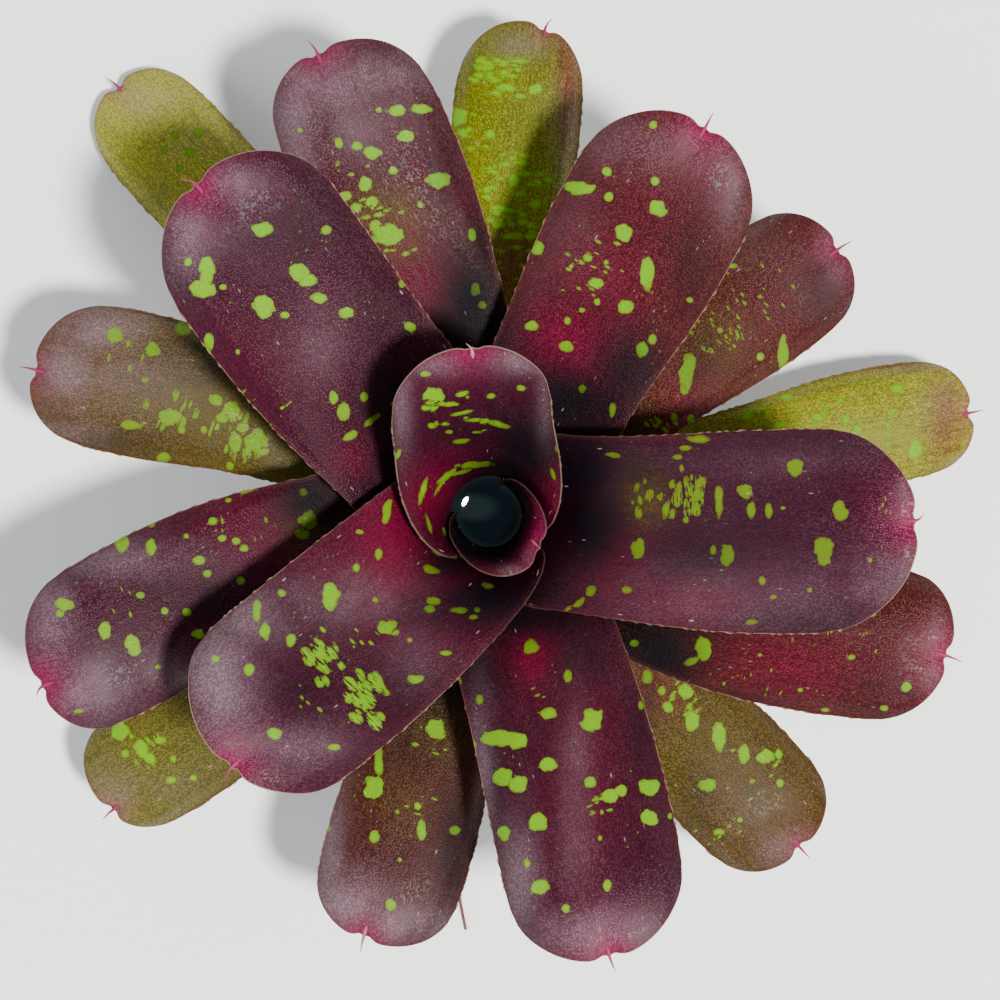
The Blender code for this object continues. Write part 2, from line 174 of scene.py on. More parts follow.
# Straw is brighter than the leaves' own colour, partly painted light where leaf 18 lies in the
# key's shadow.
STRAW = (0.2600, 0.2700, 0.0150)
LIME = (0.0950, 0.2900, 0.0000)
MAGENTA = (0.1600, 0.0020, 0.0500)
ROSE = (0.2700, 0.0050, 0.0700)
PETAL = (0.3600, 0.1900, 0.1900)
CREAM = (0.3600, 0.3200, 0.2900)
TAN = (0.2000, 0.1300, 0.1000)
RUST = (0.0520, 0.0100, 0.0040)
# Silvery pale, used only for the painted sheen.
SHEEN_SILVER = (0.2300, 0.1650, 0.1950)
SCURF = (0.0900, 0.0850, 0.0800)

# How each leaf is coloured: pigment at its base, middle and end, of its haze, and how strongly it
# is hazed all over, mottled with fine flecks, and dusted with wax. The blue-black at a foot, and
# over leaf 1 down in the cup, is partly dark pigment and partly painted shade.
Look = namedtuple("Look", "base middle end haze hazed flecked waxy")
LOOKS = {
    1: Look(INK_AND_SHADE, INK_AND_SHADE, WINE, OLIVE, 0.0, 0.05, 0.1),
    2: Look(WINE, PLUM, PLUM, OLIVE, 0.0, 0.15, 0.5),
    3: Look(WINE, PLUM, VIOLET, OLIVE, 0.0, 0.20, 0.8),
    4: Look(PLUM, VIOLET, PLUM, OLIVE, 0.0, 0.15, 0.6),
    5: Look(PLUM, PLUM, VIOLET, OLIVE, 0.0, 0.10, 0.7),
    6: Look(PLUM, PLUM, VIOLET, OLIVE, 0.0, 0.45, 0.6),
    7: Look(PLUM, MAHOGANY, MAHOGANY, OLIVE, 0.0, 0.20, 0.5),
    8: Look(WINE, PLUM, VIOLET, MOSS, 0.0, 0.20, 0.7),
    9: Look(INK_AND_SHADE, MAHOGANY, MAHOGANY, OLIVE, 0.05, 0.60, 0.4),
    10: Look(INK_AND_SHADE, WINE, VIOLET, OLIVE, 0.10, 0.20, 0.7),
    11: Look(INK_AND_SHADE, MAHOGANY, VIOLET, OLIVE, 0.15, 0.25, 0.7),
    12: Look(RUST, MAHOGANY, WINE, OLIVE, 0.25, 0.75, 0.4),
    13: Look(MOSS, OLIVE, MAHOGANY, OLIVE, 0.55, 0.30, 0.9),
    14: Look(RUST, OLIVE, MAHOGANY, OLIVE, 0.75, 0.55, 0.4),
    15: Look(OLIVE, CITRON, OLIVE, CITRON, 0.60, 0.45, 0.4),
    16: Look(MOSS, MOSS, GRASS, GRASS, 0.50, 0.40, 0.5),
    17: Look(OLIVE, CITRON, STRAW, STRAW, 0.60, 0.60, 0.3),
    18: Look(MOSS, STRAW, STRAW, STRAW, 0.60, 0.10, 0.6),
}
# Leaf 1's pale edge is nearly taken away: painted shade down in the cup.
RIM_PALENESS = {1: 0.1}
USUAL_RIM_PALENESS = 0.8
SPINE_PALENESS = {1: 0.6, 2: 0.8, 11: 0.5}
USUAL_SPINE_PALENESS = 0.12
DULL_SPOTS = {4: 0.55, 8: 0.15, 12: 0.25, 13: 0.35, 18: 0.3}

# Lime spots where the photograph shows them: pixel x and y of the middle, width and height
# in pixels, and, where it lies aslant, a turn in degrees.
SPOTS = {
    1: ((446, 570, 5, 4), (505, 577, 7, 3)),
    2: ((434, 395, 24, 15), (448, 404, 22, 5), (428, 408, 12, 6), (491, 396, 9, 6),
        (521, 388, 9, 6), (425, 374, 11, 5), (462, 413, 30, 4, 12), (476, 420, 22, 4),
        (498, 424, 26, 6, -14), (432, 426, 10, 6), (449, 432, 8, 4), (461, 441, 18, 5, 8),
        (475, 465, 38, 7, 4), (447, 476, 24, 7, 40), (462, 472, 24, 4, 18), (440, 486, 20, 4, 60),
        (423, 491, 6, 26, -14), (429, 524, 4, 18, 18), (398, 455, 5, 12, -20), (557, 448, 5, 7),
        (553, 474, 4, 12, 20), (446, 532, 6, 10, 30)),
    3: ((387, 512, 9, 26, -10), (360, 532, 8, 5), (378, 554, 8, 12), (356, 568, 7, 9),
        (331, 596, 17, 26), (257, 610, 9, 22), (265, 631, 11, 18), (291, 640, 10, 14),
        (249, 669, 11, 12), (215, 659, 9, 8), (282, 593, 9, 8), (274, 734, 16, 12),
        (334, 747, 13, 7), (416, 679, 17, 9), (431, 570, 18, 8, -20), (434, 601, 14, 9),
        (430, 609, 13, 8), (459, 610, 16, 7), (477, 610, 6, 5), (474, 617, 10, 5),
        (488, 586, 14, 6, -10), (436, 551, 16, 5, -38), (387, 627, 20, 14), (395, 632, 10, 8),
        (446, 653, 14, 5), (375, 600, 6, 5), (410, 640, 6, 5)),
    4: ((698, 439, 24, 8), (686, 448, 12, 5), (677, 457, 10, 5), (612, 455, 15, 6, -10),
        (751, 510, 9, 18), (769, 511, 7, 16), (783, 508, 6, 4), (795, 468, 16, 20),
        (840, 511, 15, 18), (824, 549, 18, 30), (713, 550, 6, 10), (727, 556, 15, 22),
        (638, 549, 14, 20), (591, 591, 12, 9, 40), (580, 602, 14, 7, 40), (568, 609, 9, 4, 30),
        (627, 590, 10, 7), (752, 622, 12, 6), (762, 581, 7, 9), (773, 597, 7, 5), (689, 634, 12, 5),
        (732, 635, 10, 4), (745, 491, 16, 13), (719, 500, 8, 34), (870, 560, 5, 5),
        (810, 590, 5, 5)),
    5: ((263, 229, 24, 14), (326, 230, 11, 9), (207, 267, 18, 20), (203, 289, 26, 18),
        (206, 278, 14, 18), (188, 262, 7, 8), (223, 287, 8, 6), (299, 272, 22, 18),
        (308, 280, 20, 14), (264, 307, 22, 24), (319, 298, 16, 11), (285, 315, 9, 7),
        (209, 342, 10, 22), (346, 313, 17, 11), (410, 327, 12, 10), (334, 398, 9, 14),
        (344, 411, 13, 20), (364, 397, 9, 10), (350, 436, 18, 8, 30), (372, 420, 20, 7, 40),
        (395, 403, 12, 6, 30), (402, 284, 8, 8), (238, 352, 5, 6)),
    6: ((531, 647, 16, 14), (568, 677, 8, 14), (549, 713, 16, 12), (592, 720, 20, 26, -30),
        (494, 738, 28, 16), (505, 739, 40, 15), (517, 741, 20, 17), (502, 777, 20, 18),
        (518, 784, 20, 17), (548, 765, 16, 16), (590, 782, 12, 12), (610, 796, 16, 15),
        (621, 791, 12, 12), (649, 787, 19, 18), (650, 818, 19, 16), (670, 816, 6, 7),
        (538, 822, 19, 18), (504, 833, 13, 17), (527, 863, 7, 10), (540, 887, 19, 15),
        (566, 909, 8, 9), (607, 886, 8, 12), (473, 746, 7, 12), (456, 671, 5, 26, 20),
        (641, 705, 6, 9), (596, 800, 5, 8), (602, 812, 4, 5), (480, 700, 8, 10), (600, 838, 5, 6)),
    7: ((579, 188, 31, 13, -4), (607, 172, 11, 10), (609, 197, 9, 9), (653, 125, 8, 9),
        (655, 181, 9, 9), (658, 208, 18, 16), (624, 233, 18, 17), (537, 247, 15, 16),
        (647, 273, 15, 36), (596, 284, 17, 12), (626, 307, 17, 14), (532, 326, 14, 10),
        (567, 321, 7, 8), (566, 347, 14, 11), (642, 350, 12, 16), (652, 340, 9, 12),
        (582, 389, 8, 9), (612, 409, 7, 15), (588, 258, 9, 8), (597, 302, 7, 8), (571, 266, 5, 5),
        (606, 262, 5, 5), (582, 310, 6, 5), (690, 300, 8, 6)),
    8: ((180, 500, 9, 14), (200, 491, 8, 8), (245, 489, 16, 9), (280, 468, 8, 6), (274, 477, 9, 5),
        (152, 519, 10, 16), (121, 543, 15, 19), (151, 547, 11, 15), (213, 521, 9, 8),
        (222, 538, 8, 7), (236, 541, 9, 8), (244, 548, 9, 8), (199, 560, 14, 10), (207, 574, 8, 8),
        (241, 581, 9, 8), (303, 492, 9, 8), (308, 520, 18, 18), (302, 534, 16, 12),
        (140, 595, 9, 8), (165, 611, 8, 7), (187, 612, 9, 8), (64, 605, 20, 13), (60, 613, 10, 8),
        (105, 631, 13, 19), (133, 646, 15, 23, 20), (158, 667, 6, 5), (197, 634, 14, 10),
        (79, 711, 12, 5), (228, 500, 6, 5), (186, 536, 6, 5)),
    9: ((703, 648, 16, 24), (692, 661, 16, 7, 20), (634, 643, 10, 8), (871, 613, 9, 8),
        (906, 687, 12, 10), (851, 657, 8, 5), (884, 708, 8, 6), (825, 710, 10, 4), (788, 710, 7, 4),
        (760, 655, 5, 4), (840, 630, 5, 5), (800, 690, 5, 4)),
    10: ((397, 110, 16, 11), (421, 109, 20, 10), (406, 136, 19, 12), (379, 110, 7, 6),
        (339, 143, 9, 11), (357, 146, 11, 9), (372, 153, 18, 13), (393, 171, 9, 8),
        (439, 180, 24, 17), (365, 183, 14, 15), (345, 196, 12, 10), (356, 207, 14, 10),
        (372, 202, 14, 12), (388, 235, 33, 22), (376, 226, 14, 12), (472, 235, 9, 12),
        (476, 290, 10, 14), (482, 305, 9, 8), (300, 130, 6, 6), (420, 205, 6, 6)),
    11: ((436, 729, 21, 19), (379, 762, 9, 26), (374, 787, 21, 24), (418, 806, 8, 8),
        (422, 830, 9, 21), (374, 837, 11, 13), (454, 830, 11, 10), (333, 788, 6, 19),
        (328, 829, 7, 7), (390, 905, 12, 11), (400, 860, 5, 5)),
    12: ((783, 355, 11, 39), (687, 372, 15, 42, -8), (760, 357, 8, 8), (759, 394, 10, 8),
        (691, 420, 8, 12), (674, 417, 7, 9), (733, 266, 10, 5), (656, 425, 8, 6), (800, 372, 5, 6),
        (720, 330, 6, 6)),
    13: ((115, 335, 17, 16), (152, 350, 15, 15), (183, 328, 17, 16), (132, 425, 23, 9),
        (170, 417, 24, 18), (182, 430, 8, 8), (204, 430, 8, 8), (216, 400, 15, 12),
        (232, 411, 17, 21), (235, 442, 14, 21), (256, 441, 25, 22), (230, 466, 8, 8),
        (164, 457, 14, 11), (243, 428, 14, 10), (262, 452, 14, 8), (222, 418, 14, 10),
        (145, 380, 8, 6)),
    14: ((647, 677, 10, 16), (685, 692, 16, 16), (668, 707, 12, 12), (692, 720, 15, 21),
        (719, 736, 14, 31), (744, 754, 13, 19), (766, 757, 18, 16), (779, 754, 8, 10),
        (707, 785, 18, 15), (780, 783, 8, 8), (719, 832, 12, 6), (662, 690, 8, 10),
        (740, 820, 6, 5)),
    15: ((458, 117, 21, 18), (463, 133, 11, 10), (490, 134, 11, 9), (535, 89, 14, 11),
        (514, 180, 12, 14), (535, 204, 13, 10), (499, 225, 14, 8), (510, 236, 16, 8),
        (488, 66, 14, 9), (506, 88, 20, 9), (494, 80, 14, 7), (520, 96, 12, 6), (487, 190, 10, 8),
        (524, 222, 12, 8), (497, 212, 12, 7), (530, 236, 12, 8)),
    16: ((120, 731, 18, 19), (141, 748, 14, 22, 40), (150, 758, 12, 14, 40), (125, 753, 8, 8),
        (171, 780, 10, 8), (193, 778, 7, 6), (160, 740, 14, 8)),
    17: ((787, 397, 15, 7), (748, 416, 15, 9), (780, 425, 13, 9), (818, 417, 15, 9),
        (857, 429, 9, 8), (898, 389, 13, 9), (915, 449, 15, 19), (840, 400, 9, 6),
        (868, 455, 10, 8), (760, 435, 16, 7)),
    18: ((175, 135, 10, 9), (199, 133, 12, 10), (165, 150, 8, 8), (212, 107, 7, 5),
        (190, 152, 12, 10), (180, 168, 8, 7)),
}

# Broken patches of small spots: middle, width and height in pixels, how many, and their size.
PATCHES = {
    2: ((446, 400, 46, 22, 10, 7), (470, 424, 70, 18, 8, 6)),
    3: ((324, 664, 38, 44, 18, 11), (362, 692, 46, 36, 17, 13), (368, 716, 30, 12, 6, 13),
        (345, 640, 90, 26, 10, 5), (300, 700, 60, 30, 5, 4)),
    4: ((684, 495, 44, 54, 24, 12), (645, 500, 34, 38, 9, 8), (742, 492, 20, 14, 5, 7),
        (890, 505, 26, 18, 5, 4)),
    5: ((262, 405, 60, 44, 9, 3), (300, 250, 60, 40, 4, 3)),
    6: ((600, 804, 24, 24, 7, 5), (545, 700, 60, 60, 5, 4)),
    7: ((583, 278, 50, 60, 15, 5), (620, 250, 50, 60, 6, 4)),
    8: ((250, 520, 70, 40, 6, 5), (110, 600, 60, 60, 4, 4)),
    9: ((850, 640, 120, 70, 16, 3), (760, 680, 90, 30, 8, 3)),
    10: ((372, 215, 60, 50, 10, 7), (350, 160, 60, 40, 5, 4), (400, 250, 40, 20, 6, 6)),
    11: ((430, 740, 40, 40, 5, 5), (400, 800, 70, 90, 8, 4)),
    12: ((715, 330, 60, 46, 26, 5), (760, 290, 90, 60, 16, 4), (660, 425, 40, 16, 8, 6)),
    13: ((165, 410, 60, 36, 18, 8), (225, 415, 60, 50, 14, 8), (130, 350, 60, 40, 6, 5),
        (245, 450, 40, 26, 8, 10)),
    14: ((680, 700, 50, 44, 10, 7), (715, 830, 60, 30, 8, 4), (750, 770, 70, 60, 8, 5)),
    15: ((500, 75, 60, 52, 20, 11), (515, 180, 80, 60, 22, 9), (505, 225, 60, 34, 16, 9),
        (475, 130, 40, 40, 6, 7), (520, 260, 50, 40, 10, 7)),
    16: ((150, 752, 60, 40, 8, 8),),
    17: ((800, 415, 110, 30, 14, 8), (880, 430, 60, 60, 6, 6)),
    18: ((185, 145, 60, 50, 6, 6),),
}
PATCH_SIZES = (0.55, 1.25)
PATCH_WIDTHS = (1.0, 1.8)
PATCH_HEIGHTS = (0.5, 0.9)
PATCH_SWING = 14.0
WHOLE = 1.0
BROKEN = -1.0

# Soft patches: red glows, partly the leaf's own crimson and partly painted light shining through
# the leaf; painted shade, dark laid where a leaf lies in the shade of leaves above it; painted
# sheen, silvery highlights where a leaf catches the light; and hazes of the leaf's own haze
# pigment: middle, width and height in pixels, and strength.
RED_GLOWS = {
    1: ((534, 538, 14, 40, 0.9), (522, 560, 20, 20, 0.9)),
    2: ((432, 500, 40, 60, 0.9), (552, 500, 20, 60, 0.9), (450, 450, 50, 30, 0.4)),
    3: ((392, 545, 60, 90, 1.0), (350, 560, 110, 50, 0.35), (445, 580, 40, 24, 0.4)),
    4: ((610, 570, 60, 60, 0.6), (690, 600, 110, 40, 0.5)),
    5: ((355, 460, 40, 40, 0.5), (260, 360, 160, 90, 0.15)),
    6: ((532, 650, 34, 60, 1.0), (585, 780, 50, 170, 0.35), (500, 650, 40, 60, 0.3)),
    7: ((570, 340, 60, 60, 1.0), (610, 280, 90, 90, 0.55), (650, 200, 90, 90, 0.25)),
    8: ((270, 520, 110, 60, 0.5),),
    9: ((790, 665, 140, 60, 0.7),),
    10: ((420, 290, 60, 60, 0.8), (400, 250, 80, 60, 0.4)),
    12: ((690, 400, 50, 60, 0.7), (770, 320, 120, 80, 0.3)),
    14: ((650, 690, 60, 50, 0.5),),
    15: ((570, 90, 20, 150, 0.8), (515, 265, 60, 50, 0.7)),
    17: ((945, 420, 30, 80, 0.7), (880, 365, 150, 12, 0.6)),
}
# Painted shade: blue-black patches laid where a leaf lies in the shade of the leaves above it.
PAINTED_SHADES = {
    1: ((468, 552, 50, 34, 1.0), (500, 556, 50, 26, 1.0), (515, 500, 30, 34, 0.9)),
    2: ((525, 450, 70, 60, 1.0), (510, 466, 70, 30, 1.0), (470, 440, 80, 30, 0.6),
        (470, 530, 60, 40, 0.8), (430, 540, 30, 40, 0.5)),
    3: ((485, 600, 80, 40, 1.0), (450, 560, 50, 40, 0.8), (430, 610, 70, 34, 0.6),
        (400, 690, 80, 60, 0.3), (300, 690, 60, 50, 0.35)),
    4: ((590, 530, 55, 80, 1.0), (580, 470, 60, 50, 1.0), (700, 555, 90, 40, 0.45),
        (640, 470, 60, 30, 0.5), (800, 620, 90, 20, 0.4), (760, 550, 130, 40, 0.22),
        (612, 562, 46, 40, 0.45)),
    5: ((395, 400, 50, 60, 0.8), (400, 470, 40, 60, 0.9), (300, 230, 60, 50, 0.3),
        (390, 320, 40, 80, 0.3)),
    6: ((520, 618, 100, 36, 1.0), (480, 670, 34, 60, 0.7), (490, 790, 30, 120, 0.35),
        (590, 660, 40, 40, 0.5), (643, 715, 26, 110, 0.45)),
    7: ((560, 400, 90, 50, 1.0), (630, 370, 60, 60, 0.8), (500, 330, 30, 50, 0.5),
        (690, 260, 34, 90, 0.4)),
    8: ((310, 500, 70, 60, 1.0), (230, 600, 70, 40, 0.6), (170, 590, 80, 30, 0.3)),
    9: ((660, 655, 70, 60, 1.0), (720, 700, 90, 24, 0.5), (880, 690, 60, 40, 0.3)),
    10: ((470, 300, 50, 90, 1.0), (450, 330, 50, 60, 0.9), (480, 240, 30, 70, 0.7),
        (448, 170, 34, 100, 0.4)),
    11: ((455, 850, 30, 110, 0.75), (400, 760, 60, 40, 0.3)),
    12: ((700, 360, 30, 70, 0.3), (822, 292, 40, 60, 0.5)),
    13: ((230, 370, 90, 30, 0.6), (190, 350, 60, 24, 0.5), (110, 440, 90, 20, 0.4)),
    14: ((648, 700, 14, 60, 0.5), (700, 800, 30, 60, 0.3)),
    17: ((760, 440, 60, 12, 0.8),),
    18: ((160, 200, 40, 40, 0.3),),
}
# Painted sheen: silvery highlights where leaf ends and the lip of leaf 1 catch the light.
PAINTED_SHEENS = {
    1: ((518, 572, 24, 10, 1.0), (532, 558, 12, 18, 1.0), (535, 548, 6, 10, 1.0)),
    2: ((520, 360, 46, 20, 1.0), (400, 400, 18, 70, 0.7), (430, 364, 44, 18, 0.7),
        (545, 400, 14, 60, 0.5)),
    3: ((218, 680, 54, 90, 1.0), (250, 620, 60, 50, 0.8), (340, 600, 110, 50, 0.45),
        (300, 745, 80, 30, 0.6), (410, 650, 50, 50, 0.3)),
    4: ((890, 580, 70, 50, 0.5), (740, 595, 200, 50, 0.3), (905, 500, 16, 40, 0.6),
        (780, 460, 140, 30, 0.2)),
    5: ((190, 235, 34, 60, 0.8), (232, 182, 40, 26, 1.0), (320, 340, 50, 80, 0.35)),
    6: ((600, 935, 90, 36, 1.0), (520, 880, 30, 90, 0.7), (480, 790, 18, 140, 0.7),
        (576, 800, 26, 150, 0.4)),
    7: ((732, 175, 24, 80, 0.5), (630, 145, 90, 40, 0.45), (700, 140, 40, 40, 0.6),
        (560, 220, 60, 90, 0.2)),
    8: ((90, 688, 66, 40, 1.0), (50, 620, 34, 70, 1.0), (120, 560, 120, 30, 0.6),
        (170, 670, 60, 30, 0.6)),
    9: ((937, 662, 20, 56, 0.9), (850, 630, 90, 26, 0.1)),
    10: ((330, 80, 80, 50, 1.0), (300, 120, 34, 90, 1.0), (360, 75, 90, 34, 1.0),
        (350, 130, 50, 50, 0.5)),
    11: ((345, 905, 60, 50, 1.0), (330, 840, 24, 110, 0.9), (400, 925, 70, 30, 1.0)),
    12: ((835, 245, 24, 60, 0.5), (760, 250, 60, 40, 0.2)),
    13: ((95, 330, 90, 34, 1.0), (66, 370, 44, 70, 1.0), (130, 380, 100, 50, 0.55),
        (70, 430, 60, 24, 0.5)),
    14: ((790, 850, 50, 30, 0.6), (740, 800, 60, 60, 0.25)),
    15: ((520, 45, 50, 24, 0.6), (560, 140, 20, 80, 0.3)),
    16: ((110, 800, 50, 50, 0.5), (170, 790, 50, 30, 0.3)),
    17: ((940, 400, 40, 50, 0.3),),
    18: ((150, 105, 70, 40, 0.8), (190, 130, 60, 40, 0.4)),
}
HAZES = {
    4: ((646, 498, 34, 44, 0.75),),
    8: ((305, 528, 40, 36, 0.9),),
    10: ((385, 215, 70, 50, 0.9), (390, 245, 60, 30, 0.8)),
    11: ((440, 740, 60, 60, 0.5), (400, 800, 60, 90, 0.4)),
    12: ((715, 335, 70, 60, 0.8), (700, 390, 50, 70, 0.5)),
    13: ((170, 415, 90, 60, 0.9), (235, 420, 80, 80, 0.9), (120, 340, 90, 50, 0.5)),
    14: ((690, 710, 90, 70, 0.9), (780, 760, 90, 110, 0.8)),
    15: ((500, 80, 70, 70, 1.0), (515, 190, 90, 90, 1.0), (480, 130, 60, 60, 0.8)),
    16: ((150, 750, 110, 70, 0.9),),
    17: ((820, 420, 200, 80, 0.9),),
    18: ((180, 150, 110, 110, 0.8),),
}
SOFT_PATCHES = {"glow": RED_GLOWS, "haze": HAZES, "painted_shade": PAINTED_SHADES, "wax": PAINTED_SHEENS}
SOFT_FALL = 2.2

# Where the photograph can't see, small spots are drawn at random on the sheet.
HIDDEN_SPOTS = 14
HIDDEN_SHARE = (0.05, 0.30)
HIDDEN_REACH = 0.9
HIDDEN_RADIUS = (1.0, 3.0)
HIDDEN_LENGTHENING = (1.0, 1.8)
NOWHERE = 9.0


def lerp(start, end, share):
    return start + (end - start) * share


def smooth(value):
    value = np.clip(value, 0.0, 1.0)
    return value * value * (3.0 - 2.0 * value)


def ramp(value, span):
    return smooth((value - span[0]) / (span[1] - span[0]))


def age_of(order):
    return (order - 1) / (len(LEAVES) - 1)


def profile(order):
    """Distance along a leaf's middle line, with its radius, height and slope there."""
    leaf = LEAVES[order - 1]
    age = age_of(order)
    distance = np.linspace(0.0, PROFILE_LENGTH, PROFILE_POINTS)
    sheath = lerp(*SHEATH_SLOPE, age)
    start = lerp(*BEND_START, age ** BEND_AGING)
    end = lerp(*BEND_END, age ** BEND_AGING)
    slope = sheath + (leaf.slope - sheath) * smooth((distance - start) / (end - start))
    slope = np.radians(slope - BLADE_ARCH * np.clip(distance - end, 0.0, None))
    middle = (slope[1:] + slope[:-1]) / 2.0
    step = distance[1] - distance[0]
    foot_radius = FIRST_SEAT_RADIUS + SEAT_RADIUS_STEP * (order - 1)
    foot_height = FIRST_SEAT_HEIGHT - SEAT_HEIGHT_STEP * (order - 1)
    radius = foot_radius + np.concatenate([[0.0], np.cumsum(np.cos(middle)) * step])
    height = foot_height + np.concatenate([[0.0], np.cumsum(np.sin(middle)) * step])
    return distance, radius, height, slope


def half_turn(order, share, radius):
    """How far round the axis the sheet reaches to each side, in radians."""
    leaf = LEAVES[order - 1]
    full = leaf.width / 2.0
    neck = full * leaf.neck
    sheath = lerp(full, neck, ramp(share, SHEATH_SPAN))
    blade = lerp(neck, full, ramp(share, WIDEST_SPAN)) * (1.0 - TAPER * ramp(share, TAPER_SPAN))
    chord = np.where(share < SHEATH_SPAN[1], sheath, blade) / radius
    flat = chord + chord ** 3 / ARC_DIVISORS[0] + chord ** 5 / ARC_DIVISORS[1]
    limit = math.radians(WRAP.get(order, USUAL_WRAP))
    return (flat ** -WRAP_BLEND + limit ** -WRAP_BLEND) ** (-1.0 / WRAP_BLEND)


def end_distance(leaf, length, across):
    """How far along the leaf its outline reaches, at a line across it."""
    cap = leaf.cap * leaf.width
    round_end = cap * (1.0 - np.abs(across) ** leaf.blunt) ** (1.0 / leaf.blunt)
    off_spine = across - leaf.spine_side
    notch = NOTCH_DEPTH * np.exp(-(off_spine / NOTCH_WIDTH) ** 2)
    point = POINT_LENGTH * np.exp(-(off_spine / POINT_WIDTH) ** 2)
    return length - cap + round_end - notch + point


def relief(order, leaf, length, distance, across):
    """How far the sheet stands above its bowl-shaped surface: crown, margins, end and spine."""
    share = distance / length
    shape = YOUNG_SHAPE.get(order, 1.0)
    crown = CROWN * np.abs(across) ** CROWN_POWER * ramp(share, CROWN_SPAN)
    margin = ramp(np.abs(across), (MARGIN_START, 1.0)) * ramp(share, CROWN_SPAN)
    droop = END_DROOP * np.clip((distance - length + DROOP_LENGTH) / DROOP_LENGTH, 0.0, None) ** 2
    lip, lip_length = LIP.get(order, NO_LIP)
    lip = lip * np.clip((distance - length + lip_length) / lip_length, 0.0, None) ** 2
    past = np.clip(1.0 - (length - distance) / PINCH_LENGTH, 0.0, 1.0)
    pinch = PINCH_DEPTH * past * np.exp(-((across - leaf.spine_side) / PINCH_WIDTH) ** 2)
    wave = WAVE_HEIGHT * age_of(order) * across * np.abs(across)
    wave = wave * np.sin(distance / WAVE_LENGTH * math.tau + order) * ramp(share, CROWN_SPAN)
    return wave - shape * (crown + MARGIN_ROLL * margin + droop + pinch) - lip


Sheet = namedtuple("Sheet", "points across distance share half edge length")


def leaf_sheet(order, line, share_along, side, tooth=0.0):
    """Points of a leaf's sheet in metres, with where each lies on the leaf in millimetres.

    side is 1 on the upper face and -1 on the lower; tooth is how far the margin stands out.
    """
    leaf = LEAVES[order - 1]
    distances, radii, heights, slopes = profile(order)
    length = float(np.interp(leaf.reach, radii, distances))
    across = line + leaf.spine_side * (1.0 - line * line) * smooth(share_along)
    end = end_distance(leaf, length, across)
    distance = share_along * end
    share = distance / length
    radius = np.interp(distance, distances, radii)
    height = np.interp(distance, distances, heights)
    slope = np.interp(distance, distances, slopes)
    swing = math.radians(leaf.tip_turn - leaf.base_turn) * ramp(share, TURN_SPAN)
    reach = half_turn(order, share, radius)
    turn = math.radians(leaf.base_turn) + swing + across * (reach + tooth / radius)
    half = reach * radius
    edge = np.minimum((1.0 - np.abs(across)) * half, end - distance)
    thickness = lerp(SHEATH_THICKNESS, BLADE_THICKNESS, ramp(share, THICKENING_SPAN))
    thickness = lerp(MARGIN_THICKNESS, thickness, ramp(edge, (0.0, MARGIN_WIDTH)))
    lift = relief(order, leaf, length, distance, across) + side * thickness / 2.0
    radius = radius - np.sin(slope) * lift
    height = height + np.cos(slope) * lift
    points = np.stack([radius * np.cos(turn), radius * np.sin(turn), height], -1) * MM
    return Sheet(points, across, distance, share, half, edge, length)


def photo_pixels(points):
    """Where points show in the photograph, in pixels."""
    depth = CAMERA_HEIGHT - points[:, 2] / MM
    x = PHOTO_MIDDLE + (points[:, 0] / MM - CAMERA_X) * PHOTO_SCALE / depth
    y = PHOTO_MIDDLE - (points[:, 1] / MM - CAMERA_Y) * PHOTO_SCALE / depth
    return x, y


def patch_ovals(order, patch, draw):
    """The small ovals of a broken patch, which lie across the leaf."""
    middle_x, middle_y, width, height, count, size = patch
    ovals = []
    for _ in range(count):
        turn = draw.uniform(0.0, math.tau)
        reach = math.sqrt(draw.random()) / 2.0
        big = size * draw.uniform(*PATCH_SIZES)
        wide = big * draw.uniform(*PATCH_WIDTHS)
        high = big * draw.uniform(*PATCH_HEIGHTS)
        aslant = LEAVES[order - 1].tip_turn + RIGHT_ANGLE + draw.uniform(-PATCH_SWING, PATCH_SWING)
        ovals.append((middle_x + width * reach * math.cos(turn),
                      middle_y + height * reach * math.sin(turn), wide, high, aslant, BROKEN))
    return ovals


def hidden_spots(sheet, draw):
    """Whole round spots near a leaf's foot."""
    spots = []
    for _ in range(HIDDEN_SPOTS):
        share = draw.uniform(*HIDDEN_SHARE)
        across = draw.uniform(-HIDDEN_REACH, HIDDEN_REACH)
        radius = draw.uniform(*HIDDEN_RADIUS)
        right = (sheet.across - across) * sheet.half / radius
        up = (sheet.distance - share * sheet.length) / radius / draw.uniform(*HIDDEN_LENGTHENING)
        spots.append((right, up, radius))
    return spots


def spots_on(order, sheet):
    """Every lime spot of a leaf: offsets from its middle, 1 at its edge, and its radius.

    The radius of a spot that stripes break up is below nought.
    """
    x, y = photo_pixels(sheet.points)
    draw = random.Random(order)
    ovals = [(*spot, 0.0)[:5] + (WHOLE,) for spot in SPOTS[order]]
    for patch in PATCHES.get(order, ()):
        ovals += patch_ovals(order, patch, draw)
    spots = []
    for middle_x, middle_y, width, height, turn, whole in ovals:
        away = np.exp(-1j * math.radians(turn)) * ((x - middle_x) + 1j * (middle_y - y))
        radius = min(width, height) / 2.0 / PIXELS_PER_MM
        spots.append((2.0 * away.real / width, 2.0 * away.imag / height, radius * whole))
    return spots + hidden_spots(sheet, draw)


